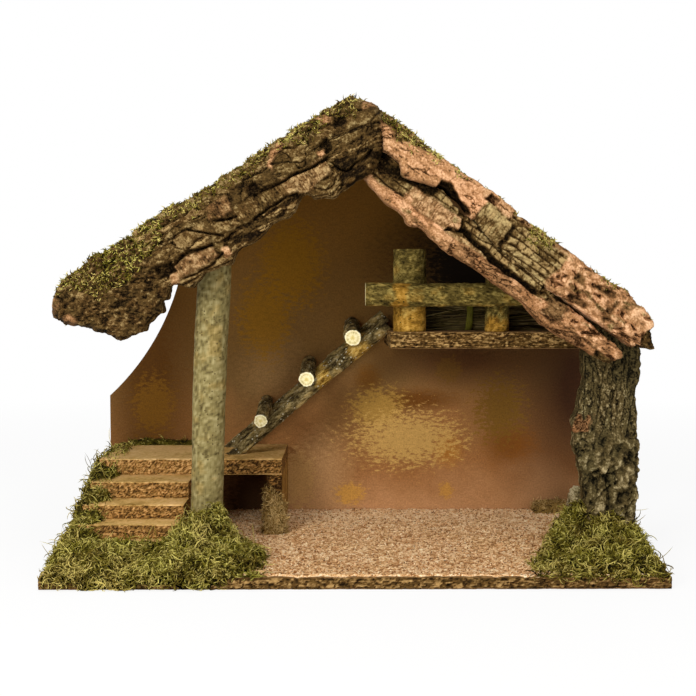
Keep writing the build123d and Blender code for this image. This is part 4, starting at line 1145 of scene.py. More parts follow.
@dataclass
class Board:
    """Chipboard: a rectangle carried along x, its sawn edges broken up into chips."""

    node: str
    finish: Grained
    slot: str  # Name of a material slot; not used
    seed: int
    spacing: float = 0.8  # Distance between grid points on the front edge
    coarse: float = 3.0  # Distance between grid points elsewhere
    chip: float = 0.5  # Height of the chips
    chip_size: Span = (2.2, 0.95)  # Length and height of a chip
    nibble: float = 0.9  # Depth of the damage along its corners
    light_and_tone_shift: Knots = ((-200, 0), (200, 0))  # Shift of its crest tone, as (x, shift) knots: painted light and shade along a board, and an even change of tone
    faced_ends: bool = False  # Whether its ends are sanded faces, as on an upright board
    fine_depth: float = 10.0  # How far back from the front edge the grid stays fine

    def build(self) -> bpy.types.Object:
        """Makes the board: cells of a chip's size stand out or fall back along its edges, and its ends are
        closed by rings that lie further and further in.

        Returns:
            The new piece.
        """
        low, high = box_mm(self.node)
        behind = low[1] + self.fine_depth
        corners = np.array([
            (low[1], low[2]), (low[1], high[2]), (behind, high[2]),
            (high[1], high[2]), (high[1], low[2]), (behind, low[2]),
        ])
        loop = sample_loop(corners, [self.spacing, 1.2, self.coarse, 1.5, self.coarse, 1.5], 1)
        inner = np.array([0.08, 0.25, 0.42, 0.58, 0.74, 0.88, 0.96])
        run = np.linspace(low[0], high[0], int((high[0] - low[0]) / self.spacing))
        x = np.concatenate([0 * inner + low[0], run, 0 * inner + high[0]])[:, None]
        scale = np.concatenate([inner, 0 * run + 1.0, inner[::-1]])[:, None]
        middle, half = (low + high) / 2.0, (high - low) / 2.0
        inset = (1.0 - scale) * np.min(half[1:])
        away = loop - middle[1:]
        y, z = (
            middle[axis + 1] + np.sign(away[:, axis]) * np.maximum(np.abs(away[:, axis]) - inset, 0.0)
            for axis in (0, 1)
        )
        points = joined(x, y, z)
        end = scale < 1.0
        edge = np.where(end, 1.0 - self.faced_ends, (np.abs(away[:, 1]) < half[2] - 0.3) * 1.0)
        spots = joined(np.where(end, y, x), z) / self.chip_size
        spots = spots + 0.25 * noise(points / 5.0, 2, self.seed)[..., None]
        edge_mm, _, chance = cells(spots, self.chip_size, self.seed + 3)
        gap = ease(0.02, 0.2, edge_mm)
        fine = noise(points / 1.6, 2, self.seed + 5)
        slow = noise(points / 14.0, 3, self.seed + 8)
        height = self.chip * ((chance - 0.55) * 1.2 + 0.9 * (gap - 1.0) + 0.3 * fine) * edge + 0.1 * fine
        corner = np.abs(away[:, 0]) > half[1] - 1.2
        height = height - self.nibble * ease(0.15, 0.8, slow + 0.5 * fine) * corner
        points = points + normals_of(points, True) * np.where(end, 0.0, height)[..., None]
        # The last term darkens each edge along its lowest millimetre: painted shade under the board, where it
        # sits on the one below
        chips = 0.04 + 0.62 * gap * (0.3 + chance) + 0.3 * fine - 0.45 * ease(1.4, 0.3, z - low[2])
        crest = np.where(edge > 0.5, chips, 0.5 + 0.3 * slow + 0.2 * fine)
        # Painted light and shade, and even changes of tone, along x
        crest = crest + np.interp(x, *np.array(self.light_and_tone_shift).T)
        tone = joined(crest, edge, np.where(edge > 0.5, chance, 0.5 + 0.5 * slow))
        patch = ring_patch(points, tone, smooth=False)
        return add_piece(self.node, [patch], [self.finish], [self.node])


@dataclass
class SawdustFloor:
    """Glued sawdust: a grid that rises and falls with noise, and loose grains on it."""

    node: str = "sawdust_floor"
    spacing: float = 1.3  # Distance between grid points
    grains: int = 8000  # How many loose grains lie on it
    grain_length: Span = (0.9, 2.4)  # Least and greatest length of a grain
    seed: int = 61

    def build(self) -> bpy.types.Object:
        """Makes the floor: z = floor + slow dunes + grain noise, with a ragged front edge.

        Returns:
            The new piece.
        """
        low, high = box_mm(self.node)
        x = np.linspace(low[0] + 0.5, high[0] - 0.5, int((high[0] - low[0]) / self.spacing))[:, None]
        v = np.linspace(0.0, 1.0, int((high[1] - low[1]) / self.spacing))[None, :]
        ragged = 1.6 + 1.4 * noise(x / 6.0, 3, self.seed)[:, None]
        y = low[1] + ragged + (high[1] - low[1] - ragged) * v
        flat = joined(x, y)
        grit = noise(flat / 1.7, 2, self.seed + 1)
        dunes = noise(flat / 22.0, 3, self.seed + 2)
        z = FLOOR + 0.35 * grit + 0.45 * dunes
        top = np.concatenate([flat, z[..., None]], -1)
        # Lighter towards the back wall: painted light on the floor where the roof shades it
        crest = 0.5 + 0.5 * grit + 0.3 * ease(0.0, 90.0, y)
        tone = joined(crest, 0.5 + 0.6 * dunes, chances(np.floor(flat / 1.3), self.seed))
        rng = np.random.default_rng(self.seed)
        roots, _ = scatter(top, 1.0, self.grains, rng)
        heading = unit(rng.normal(size=(self.grains, 3)) * (1.0, 1.0, 0.25))
        t = np.linspace(-0.5, 0.5, 3)[None, :, None]
        length = rng.uniform(*self.grain_length, (self.grains, 1, 1))
        paths = roots[:, None] + (0.0, 0.0, 0.35) + heading[:, None] * length * t
        radius = np.array([0.42, 0.55, 0.3]) * rng.uniform(0.7, 1.3, (self.grains, 1))
        grain_tone = np.repeat(rng.uniform(-0.1, 1.1, (self.grains, 1, 3)), 3, 1)
        ground = sheet_patch(top, underside(top, low[2] - 0.4, 8), tone)
        patches = [ground, strand_patch(paths, radius, grain_tone, rng)]
        return add_piece(self.node, patches, [SAWDUST], [self.node])


def scatter(grid: Array, weight: Array | float, count: int, rng: np.random.Generator) -> tuple[Array, Array]:
    """Random places on a grid surface, as many to an area as its weight asks.

    Args:
        grid: (along, across, 3) surface.
        weight: (along - 1, across - 1) weight of each cell, or one for all.
        count: How many places.
        rng: Source of the places.

    Returns:
        Places, and the normals of their cells.
    """
    a, b, c, d = grid[:-1, :-1], grid[1:, :-1], grid[:-1, 1:], grid[1:, 1:]
    cross = np.cross(d - a, c - b)
    area = np.linalg.norm(cross, axis=-1)
    share = (area * weight).ravel()
    pick = rng.choice(len(share), count, p=share / share.sum())
    s, t = rng.random((2, count, 1))
    a, b, c, d, normal = (part.reshape(-1, 3)[pick] for part in (a, b, c, d, cross))
    normal = normal / (area.ravel()[pick, None] + TINY)
    return a * (1 - s) * (1 - t) + b * s * (1 - t) + c * (1 - s) * t + d * s * t, normal


@dataclass(frozen=True)
class Growth:
    """How strands grow from their roots."""

    length: Span  # Least and greatest length
    width: float  # Width at the root
    lean: float  # 0 if they stand up from the surface, 1 if they lie flat
    bend: Span  # Least and greatest turn from root to tip, in radians
    green: float = 0.5  # Mean of the accent tone
    places: int = 5  # Points of each strand
    bright: float = 0.0  # Added to the crest tone

    def grow(self, roots: Array, normals: Array, rng: np.random.Generator) -> Patch:
        """Strands along arcs, root + length / bend (sin(bend t) heading + (1 - cos(bend t)) side).

        Args:
            roots: Where they stand.
            normals: Directions away from the surface.
            rng: Source of their differences.

        Returns:
            All the strands as one patch.
        """
        count = len(roots)
        wild = rng.normal(size=(count, 3))
        flat = unit(wild - normals * (wild * normals).sum(-1, keepdims=True))
        lean = np.clip(rng.normal(self.lean, 0.22, (count, 1)), 0.0, 1.0)
        heading = unit(normals * (1.0 - lean) + flat * lean)
        side = np.cross(heading, self.lean * normals + (1.0 - self.lean) * rng.normal(size=(count, 3)))
        side = unit(side * np.sign(rng.normal(size=(count, 1))))
        length = rng.uniform(*self.length, (count, 1, 1))
        bend = rng.uniform(*self.bend, (count, 1, 1))
        t = np.linspace(0.0, 1.0, self.places)[None, :, None]
        arc = np.sin(bend * t) * heading[:, None] + (1.0 - np.cos(bend * t)) * side[:, None]
        paths = roots[:, None] - 0.5 * normals[:, None] + length / bend * arc
        paths[..., 2] = np.maximum(paths[..., 2], STRAND_FLOOR)
        width = self.width * rng.uniform(0.6, 1.35, (count, 1))
        radius = width / 2.0 * (1.0 - 0.55 * t[..., 0])
        tuft = noise(roots / 11.0, 3, 5)[:, None]
        green = self.green + 0.75 * tuft + rng.normal(0.0, 0.2, (count, 1))
        bright = self.bright + rng.normal(0.0, 0.2, (count, 1)) + 0.42 * noise(roots / 6.0, 2, 8)[:, None]
        crest = 0.14 + 0.6 * t[..., 0] ** 0.6 + bright
        tone = joined(crest, green, width)
        return strand_patch(paths, radius, tone, rng)


# Kinds of strand, from the short ones of a cushion to the dry litter in corners
CUSHION = Growth((3.5, 7.8), 1.0, 0.62, (1.2, 3.4), 0.5, 4)
TANGLE = Growth((7.0, 15.0), 0.9, 0.75, (2.0, 4.6), 0.4, 6)
STEMS = Growth((10.0, 22.0), 0.6, 0.6, (0.5, 2.2), 0.1, 6)
MAT = Growth((3.0, 6.5), 1.3, 0.72, (1.6, 3.4), 0.45, 3)
FRINGE = Growth((2.2, 5.2), 1.0, 0.94, (0.8, 2.4), 0.4, 3, 0.04)
STRAW = Growth((4.0, 9.0), 0.7, 0.75, (1.2, 3.0), 0.05, 5, 0.05)
SPLINTER = Growth((7.0, 13.0), 2.0, 0.45, (0.05, 0.3), -0.6, 3, 0.3)
SCRAP = Growth((3.0, 8.0), 0.7, 0.85, (0.8, 2.6), 0.25, 5, -0.2)


@dataclass
class MossBed:
    """Clump of moss on a floor: a mound between a front and a back line, grown over with strands."""

    node: str
    front: Knots  # Front line as (x, y) knots
    back: Knots  # Back line as (x, y) knots
    front_height: Knots  # Height near the front line, as (x, height) knots
    back_height: Knots  # Height at the back line, as (x, height) knots
    tufts: tuple[tuple[Growth, int], ...]  # Growth and number of each kind of strand
    seed: int
    floor: float = FLOOR  # Height that it lies on
    open_back: bool = False  # Whether the mound falls off at its back too
    drape: Knots = ()  # How far it hangs over the front of the base, as (x, drop) knots
    climb: Knots = ()  # Height over y where it climbs the ends of the stair, in place of the two heights
    swing: float = 2.5  # Height of its lumps where it climbs
    litter: float = 0.1  # Crest tone of the ground between the strands
    finish: Grained = MOSS
    rounding: float = 7.0  # Distance from its outline over which it rises
    spacing: float = 1.6  # Distance between grid points

    def mound(self) -> Array:
        """Upper surface: the two heights mixed from front to back, rounded off at the outline, with lumps.

        Returns:
            (along x, front to back, 3) places.
        """
        first, last = self.front[0][0], self.front[-1][0]
        x = np.linspace(first, last, max(8, int((last - first) / self.spacing)))[:, None]
        front, back = through(self.front, x), through(self.back, x)
        v = np.linspace(0.0, 1.0, max(8, int(np.max(back - front) / self.spacing)))[None, :]
        y = front + (back - front) * v
        rise = through(self.front_height, x) * (1.0 - v) + through(self.back_height, x) * v
        reach = np.minimum(np.minimum(x - first, last - x), y - front)
        if self.open_back:
            reach = np.minimum(reach, back - y)
        near = np.clip(reach / self.rounding, 0.0, 1.0)
        round_off = np.sqrt(near * (2.0 - near))
        spots = joined(x, y)
        lumps = 0.35 * rise
        if self.climb:
            rise = np.interp(y, *np.array(self.climb).T)
            lumps = self.swing
        rise = rise + lumps * noise(spots / 13.0, 3, self.seed)
        z = self.floor + np.maximum(rise * round_off - 1.0, -0.5)
        top = joined(x, y, z)
        if not self.drape:
            return top
        drop = through(self.drape, x) * (1.0 + 0.5 * noise(x / 9.0, 3, self.seed + 1)[:, None])
        hang = drop * np.linspace(1.0, 0.0, 6)[None, :]
        edge = joined(x, BASE_FRONT - 0.6, self.floor - hang)
        return np.concatenate([edge, top], 1)

    def build(self) -> bpy.types.Object:
        """Makes the clump.

        Returns:
            The new piece.
        """
        top = self.mound()
        shade = noise(top / 7.0, 3, self.seed + 3)
        tone = joined(self.litter + 0.15 * shade, 0.5 + 0.4 * shade, shade)
        patches = [sheet_patch(top, underside(top, self.floor - 0.6, 4), tone)]
        rng = np.random.default_rng(self.seed)
        for growth, count in self.tufts:
            roots, normals = scatter(top, 1.0, count, rng)
            outward = np.sign(normals[:, 2:] - 0.5 * normals[:, 1:2])
            patches.append(growth.grow(roots, normals * outward, rng))
        return add_piece(self.node, patches, [self.finish], [self.node], by_tone=True)


@dataclass
class RoofMoss:
    """Moss mat on a slope, which also grows over the top of the bark in front of it."""

    node: str
    side: Side
    slab: CorkSlab  # Bark that it grows over
    limit: Knots  # How far down the bark it reaches, as (along, above) knots
    mat: int  # Number of strands on the slope
    fringe: int  # Number of strands on the bark
    seed: int
    thick: float = 4.2  # Thickness of the mat between its lumps
    pitch: float = 38.0  # Distance between lumps
    lump_radius: float = 14.0  # Radius of a lump at the mat's surface
    lump_rise: float = 3.0  # Height of a lump
    stagger: float = 3.5  # How far every other row of lumps lies down or up the slope
    lap: float = -2.4  # Where the mat starts, which is past the ridge, so that the two mats meet
    counts: tuple[int, int] = (104, 64)  # Grid points down the slope and from front to back
    crown_middle: Span = (5.0, -47.0)  # The x and y of the tuft on the ridge
    crown_reach: Span = (19.0, 17.0)  # Its half sizes along x and y
    crown_rise: float = 5.8  # Its height
    crown_sunk: float = 2.0  # How deep its rim lies in the slopes
    crown_strands: int = 700  # Number of its strands

    def lumps(self, along: Array, depth: Array) -> Array:
        """Height of the lumps: caps of spheres in rows, sqrt(R R - r r) - (R - rise).

        Args:
            along: Distance down the slope.
            depth: The y of each place.

        Returns:
            Heights above the mat.
        """
        ball = (self.lump_radius**2 + self.lump_rise**2) / (2.0 * self.lump_rise)
        columns = round(self.side.length / self.pitch)
        rows = round((ROOF_BACK - CAP_BACK) / self.pitch)
        height = np.zeros(np.broadcast_shapes(along.shape, depth.shape))
        for column, row in itertools.product(range(columns), range(rows)):
            middle = (column + 0.5) * self.side.length / columns + self.stagger * (1 if row % 2 else -1)
            middle_y = CAP_BACK + (row + 0.5) * (ROOF_BACK - CAP_BACK) / rows
            away = (along - middle) ** 2 + (depth - middle_y) ** 2
            height = np.maximum(height, np.sqrt(np.maximum(ball**2 - away, 0.0)) - ball + self.lump_rise)
        return height

    def crown(self, rng: np.random.Generator) -> list[Patch]:
        """Tuft on the ridge between the slabs' upper ends: half an ellipsoid over the two slopes.

        Args:
            rng: Source of its strands.

        Returns:
            The tuft and its strands.
        """
        middle, reach = np.array(self.crown_middle), np.array(self.crown_reach)
        x = np.linspace(middle[0] - reach[0], middle[0] + reach[0], 36)[:, None]
        y = np.linspace(middle[1] - reach[1], middle[1] + reach[1], 32)[None, :]
        spots = joined(x, y)
        away = (((spots - middle) / reach) ** 2).sum(-1)
        dome = np.sqrt(np.clip(1.0 - away, 0.0, 1.0))
        slopes = roof_underside(x) + ROOF_THICK / np.cos(np.where(x < 0.0, Side.LEFT.pitch, Side.RIGHT.pitch))
        z = slopes - self.crown_sunk + dome * (self.crown_rise + noise(spots / 6.0, 3, self.seed + 7))
        top = joined(x, y, z)
        tuft = sheet_patch(
            top, underside(top, slopes - 2.0 * self.crown_sunk, 4), joined(0.15 + 0.1 * dome, 0.5, dome),
        )
        roots, normals = scatter(top, 1.0 * (dome[1:, 1:] > 0.4), self.crown_strands, rng)
        return [tuft, FRINGE.grow(roots, normals * np.sign(normals[:, 2:]), rng)]

    def build(self) -> bpy.types.Object:
        """Makes the mat: above = thickness + lumps over the slope, closed below at the panel.

        Returns:
            The new piece.
        """
        along = np.linspace(self.lap, self.side.length - 0.5, self.counts[0])[:, None]
        depth = np.linspace(CAP_BACK + 0.5, ROOF_BACK - 0.3, self.counts[1])[None, :]
        spots = joined(along, depth)
        uneven = noise(spots / 12.0, 4, self.seed)
        edge = np.minimum(self.side.length - along, ROOF_BACK - depth)
        thick = self.thick + self.lumps(along, depth) + 0.8 * uneven
        thick = thick * np.sqrt(np.clip(edge / 5.0, 0.08, 1.0))
        top = self.side.place(along, np.maximum(thick, 0.6), depth)
        below = self.side.place(along, 0.05, depth[:, ::-10])
        shade = noise(spots / 8.0, 3, self.seed + 4)
        patches = [sheet_patch(top, below, joined(0.26 + 0.2 * shade, 0.5 + 0.4 * shade, shade))]
        rng = np.random.default_rng(self.seed)
        roots, normals = scatter(top, 1.0, self.mat, rng)
        patches.append(MAT.grow(roots, normals * np.sign(normals[:, 2:]), rng))
        if self.side is Side.LEFT:
            patches += self.crown(rng)
        cell_along, cell_across = self.slab.along[:-1, :-1], self.slab.across[:-1, :-1]
        patchy = noise(joined(cell_along, cell_across) / 9.0, 2, self.seed + 6)
        weight = ease(-1.5, 3.0, cell_across - through(self.limit, cell_along) + 4.0 * patchy)
        weight = weight * (1.0 - 0.6 * ease(6.0, 14.0, cell_across))
        weight = np.maximum(weight, ease(24.0, 36.0, cell_across + 5.0 * patchy))
        roots, normals = scatter(self.slab.grid, weight, self.fringe, rng)
        outward = np.sign((normals * (0.0, -1.0, 0.9)).sum(-1, keepdims=True))
        patches.append(FRINGE.grow(roots, normals * outward, rng))
        return add_piece(self.node, patches, [MOSS], [self.node], by_tone=True)


@dataclass
class BrushwoodBundle:
    """Bundle of thin stems along x that narrows at its band."""

    stems: int = 620  # How many stems show
    seed: int = 77
    stem_half: Span = (18.0, 50.0)  # Least and greatest half length of a stem
    stem_radius: Span = (0.28, 0.7)  # Least and greatest radius of a stem
    inset: float = 20.0  # Least distance of a stem's middle from the bundle's ends
    overhang: float = 6.0  # How far stems stand out of the ends
    core_share: float = 0.82  # Radius of the core of painted shade, as a share of the bundle's

    low: Array = field(init=False, repr=False)  # Lowest corner of the bundle
    high: Array = field(init=False, repr=False)  # Highest corner of the bundle
    waist: float = field(init=False)  # Radius of the band
    middle: Array = field(init=False, repr=False)  # Middle of the waist

    def __post_init__(self) -> None:
        """Reads the sizes of the bundle and of its band from the model."""
        self.low, self.high = box_mm("hay_bundle")
        band_low, band_high = box_mm("bundle_tie")
        self.waist = (band_high[1] - band_low[1]) / 2.0
        across = (self.low[1] + self.high[1]) / 2.0
        self.middle = np.array([(band_low[0] + band_high[0]) / 2.0, across, band_high[2] - self.waist])

    def spread(self, x: Array) -> Array:
        """Radius of the bundle over x: a curve from one end through the waist to the other end.

        Args:
            x: Places along the bundle.

        Returns:
            Radii.
        """
        ends = (self.high[1] - self.low[1]) / 2.0
        knots = [(self.low[0], ends), (self.middle[0], self.waist - 1.6), (self.high[0], ends)]
        return through(knots, x)

    def place(self, x: Array, radius: Array, angle: Array, lift: float = 0.2) -> Array:
        """Places round the bundle's middle line: y, z = middle + radius (cos, sin), kept above the loft.

        Args:
            x: Places along the bundle.
            radius: Distances from the middle line.
            angle: Directions from it.
            lift: Least height above the loft.

        Returns:
            Places, with x, y and z on the last axis.
        """
        _, y, z = self.middle
        z = np.maximum(z + radius * np.sin(angle), self.low[2] + lift)
        return joined(x, y + radius * np.cos(angle), z)

    def core(self) -> Patch:
        """Dark inside of the bundle, painted shade between the stems: rings that fill most of its radius."""
        x = np.linspace(self.low[0] + 3.0, self.high[0] - 3.0, 50)[:, None]
        angle = circle(36)[None, :]
        uneven = 0.08 * noise(joined(x / 40.0, angle * 5.0), 2, 3)
        points = self.place(x, self.spread(x) * (self.core_share + uneven), angle)
        return ring_patch(points, np.full(points.shape, 0.08))

    def loose_stems(self) -> Patch:
        """Stems at random places of the round section, each drawn in with it at the waist.

        Returns:
            All the stems as one patch.
        """
        rng = np.random.default_rng(self.seed)
        each = (self.stems, 1)
        middle = rng.uniform(self.low[0] + self.inset, self.high[0] - self.inset, each)
        half = rng.uniform(*self.stem_half, each)
        t = np.linspace(-1.0, 1.0, 7)[None, :]
        x = np.clip(middle + half * t, self.low[0] - self.overhang, self.high[0] + self.overhang)
        away = self.spread(x) * np.sqrt(rng.uniform(0.25, 1.0, each))
        angle = rng.uniform(0.0, 2.0 * math.pi, each) + 0.35 * rng.normal(size=each) * t
        radius = rng.uniform(*self.stem_radius, each) * (1.0 - 0.35 * np.abs(t))
        crest = rng.uniform(0.15, 0.95, each) + 0.1 * t
        tone = joined(crest, rng.uniform(0, 1, each), crest)
        return strand_patch(self.place(x, away, angle, 0.4), radius, tone, rng)

    def band(self) -> Patch:
        """Band round the waist: a flat section carried round it, with ripples.

        Returns:
            The band.
        """
        angle = circle(72)[:, None]
        flat = np.array([(-2.4, 0.0), (-2.4, 1.0), (-0.9, 1.3), (0.9, 1.1), (2.4, 1.0), (2.4, 0.0)])
        ripple = 0.35 * noise(joined(np.cos(angle) * 3, np.sin(angle) * 3), 2, 4)
        x = self.middle[0] + flat[:, 0] + 0.6 * np.sin(angle)
        points = self.place(x, self.waist - 1.2 + flat[:, 1] + ripple, angle)
        points = np.concatenate([points, points[:1]])
        return ring_patch(points, np.full(points.shape, 0.55))

    def build(self) -> list[bpy.types.Object]:
        """Makes the bundle and its band."""
        parts = [self.core(), self.loose_stems()]
        bundle = add_piece("hay_bundle", parts, [BRUSHWOOD], ["hay_bundle"], by_tone=True)
        return [bundle, add_piece("bundle_tie", [self.band()], [RAFFIA], ["bundle_tie"])]


@dataclass
class GroundStone:
    """Sand-coated nugget: a ball drawn up into a blunt cone and roughened by noise."""

    node: str = "ground_stone"
    seed: int = 83

    def build(self) -> bpy.types.Object:
        """Makes the nugget: radius sin(polar angle) (1 + noise), height from its floor to its top.

        Returns:
            The new piece.
        """
        low, high = box_mm(self.node)
        middle, half = (low + high) / 2.0, (high - low) / 2.0
        polar = np.linspace(0.06, math.pi - 0.06, 26)[:, None]
        turn = circle(36)[None, :]
        ball = joined(np.sin(polar) * np.cos(turn), np.sin(polar) * np.sin(turn), np.cos(polar))
        lumps = noise(ball * 1.7, 4, self.seed)
        grit = noise(ball * 9.0, 2, self.seed + 2)
        points = middle + half * ball * (1.0 + 0.2 * lumps + 0.07 * grit)[..., None]
        points[..., 2] = np.maximum(points[..., 2], low[2] - 0.3)
        tone = joined(0.5 + 0.4 * lumps + 0.3 * grit, 0.0, grit)
        return add_piece(self.node, [ring_patch(points, tone)], [SANDSTONE], [self.node])


@dataclass
class CarriedNodes:
    """Nodes of the model that stay as they are and get a finish."""

    wall: PaintedHardboard = PaintedHardboard("sponged_hardboard", paint_and_light_patches=(
        PaintAndLightPatch(-166.0, 120.0, 60.0, 170.0, "#4b2d08", 1.0, 0.15),
        # Painted light where the left post's shadow falls on the wall
        PaintAndLightPatch(-66.0, 128.0, 30.0, 34.0, "#a07a4a", 0.6, 0.2),
        PaintAndLightPatch(-24.0, 36.0, 30.0, 44.0, "#b88e5e", 0.7, 0.2),
        # Painted shade in the niche under the landing
        PaintAndLightPatch(-84.0, 18.0, 34.0, 44.0, "#35200c", 0.9, 0.3),
        PaintAndLightPatch(184.0, 110.0, 70.0, 150.0, "#38200f", 1.0, 0.08),
        # Painted shade on the wall under the loft
        PaintAndLightPatch(92.0, 134.0, 76.0, 26.0, "#53341a", 0.9, 0.15),
        # Painted shade on the wall behind the loft, under the right slope
        PaintAndLightPatch(104.0, 212.0, 92.0, 72.0, "#1a1209", 1.0, 0.3),
        PaintAndLightPatch(-50.0, 212.0, 26.0, 36.0, "#8f6312", 0.85),
        PaintAndLightPatch(-72.0, 168.0, 22.0, 34.0, "#8f6312", 0.8),
        PaintAndLightPatch(52.0, 100.0, 38.0, 11.0, "#5f3404", 0.8, 0.3),
        PaintAndLightPatch(13.0, 118.0, 13.0, 15.0, "#70450e", 0.7, 0.3),
        PaintAndLightPatch(79.0, 58.0, 15.0, 16.0, "#a26a26", 0.8, 0.3),
        PaintAndLightPatch(21.0, 92.0, 23.0, 18.0, "#a5803a", 0.85, 0.95),
        PaintAndLightPatch(45.0, 68.0, 44.0, 22.0, "#b99350", 0.85, 1.05),
        PaintAndLightPatch(130.0, 64.0, 26.0, 20.0, "#74430f", 0.8, 0.3),
        PaintAndLightPatch(122.0, 92.0, 20.0, 25.0, "#70501a", 0.9, 1.1),
        PaintAndLightPatch(79.0, 125.0, 11.0, 11.0, "#6e4e1c", 0.6),
        PaintAndLightPatch(-164.0, 96.0, 18.0, 24.0, "#6c480e", 0.6),
        PaintAndLightPatch(-46.0, 34.0, 16.0, 26.0, "#b18a52", 0.7),
        PaintAndLightPatch(-2.0, 22.0, 12.0, 9.0, "#bd8a3a", 0.8),
        PaintAndLightPatch(78.0, 25.0, 6.0, 7.0, "#b58238", 0.8),
    ))
    panel: PaintedHardboard = PaintedHardboard(
        "raw_hardboard", high="#5e4324", middle="#5e4324", low="#5e4324", foot="#5e4324", face=-1000.0,
    )
    steel: BrightSteel = BrightSteel()

    def dress(self) -> None:
        """Puts the finishes on the wall, the roof panels and the fasteners."""
        worn = {
            self.wall: ("back_wall",),
            self.panel: ("roof_panel_left", "roof_panel_right"),
            self.steel: ("wall_pins", "base_nails", "loft_nails", "roof_pins"),
        }
        for finish, nodes in worn.items():
            for node in nodes:
                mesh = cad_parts[node].data
                mesh.materials.clear()
                mesh.materials.append(finish.material())
                log.info("%s: %s", node, finish.name)


@dataclass
class Studio:
    """Pale floor, soft lamps, white surroundings and the photograph's camera."""

    eye: tuple[float, float, float] = (-8.37, -706.39, 182.88)  # Place of the camera
    lens: float = 50.39  # Focal length on a 36 mm sensor
    tilt: float = 2.836  # How far it looks down, in degrees
    turn: float = 0.338  # How far it turns to its right, in degrees
    ambient: float = 0.5  # Strength of the surroundings as light
    white: float = 0.86  # Share of plain white in what the camera sees of the floor

    def build(self) -> None:
        """Makes the floor, the lamps, the world and the camera."""
        self.add_floor()
        self.add_world()
        target = np.array((0.0, 0.0, 130.0))
        for name, place, size, level in (
            ("key", (-620.0, -1050.0, 560.0), 520.0, 0.68),
            ("fill", (700.0, -1000.0, 300.0), 700.0, 0.2),
            ("top", (60.0, -700.0, 1150.0), 700.0, 0.35),
        ):
            self.add_lamp(name, np.array(place), target, size, level)
        camera = put("camera", bpy.data.cameras.new("camera"))
        camera.data.lens = self.lens
        camera.data.sensor_width = 36.0
        camera.data.clip_start = 0.01
        camera.location = [part * MM for part in self.eye]
        camera.rotation_euler = (math.radians(90.0 - self.tilt), 0.0, math.radians(-self.turn))
        bpy.context.scene.camera = camera
        bpy.context.scene.view_settings.view_transform = "Standard"

    def add_lamp(self, name: str, place: Array, target: Array, size: float, level: float) -> None:
        """Square lamp whose light alone would show a colour at this share of its written level.

        Args:
            name: Name of the lamp.
            place: Where it hangs.
            target: What it faces.
            size: Length of its sides.
            level: Share of full light at the target; watts = level pi pi distance squared.
        """
        data = bpy.data.lights.new(name, "AREA")
        data.size = size * MM
        away = np.linalg.norm(target - place) * MM
        data.energy = level * math.pi**2 * away**2
        lamp = put(name, data)
        lamp.location = place * MM
        direction = Vector(target - place)
        lamp.rotation_euler = direction.to_track_quat("-Z", "Y").to_euler()

    def seen(self, tree: bpy.types.NodeTree) -> bpy.types.NodeSocket:
        """1 where the camera, a gloss or a clear surface looks at it, and 0 where it lights the stable."""
        paths = add(tree, "LightPath").node.outputs
        seen = add(tree, "Math", {0: paths["Is Camera Ray"], 1: paths["Is Glossy Ray"]}, operation="MAXIMUM")
        return add(tree, "Math", {0: seen, 1: paths["Is Transmission Ray"]}, operation="MAXIMUM")

    def add_floor(self) -> None:
        """Pale floor that looks white and still takes the shadow."""
        made, tree = blank_material("studio_floor")
        plain = add(tree, "BsdfDiffuse", {"Color": linear("#f4f3f1")})
        glow = add(tree, "Emission", {"Color": linear("#ffffff"), "Strength": 1.0})
        away = add(tree, "VectorMath", {0: add(tree, "TexCoord", out="Object")}, "Value", operation="LENGTH")
        fade = add(tree, "MapRange", {"Value": away, "From Min": 0.3, "From Max": 1.2, "To Min": self.white})
        share = add(tree, "Math", {0: self.seen(tree), 1: fade}, operation="MULTIPLY")
        mixed = add(tree, "MixShader", {0: share, 1: plain, 2: glow})
        add(tree, "OutputMaterial", {"Surface": mixed})
        mesh = bpy.data.meshes.new("studio_floor")
        reach, drop = 6.0, -0.2 * MM
        corners = [(-reach, -reach, drop), (reach, -reach, drop), (reach, reach, drop), (-reach, reach, drop)]
        mesh.from_pydata(corners, [], [(0, 1, 2, 3)])
        mesh.materials.append(made)
        floor = put("studio_floor", mesh)

    def add_world(self) -> None:
        """White surroundings: full white to the eye, and a share of it as light."""
        world = bpy.data.worlds.new("studio")
        world.use_nodes = True
        tree = world.node_tree
        tree.nodes.clear()
        strength = add(tree, "MapRange", {"Value": self.seen(tree), "To Min": self.ambient, "To Max": 1.0})
        light = add(tree, "Background", {"Color": linear("#ffffff"), "Strength": strength})
        add(tree, "OutputWorld", {"Surface": light})
        bpy.context.scene.world = world


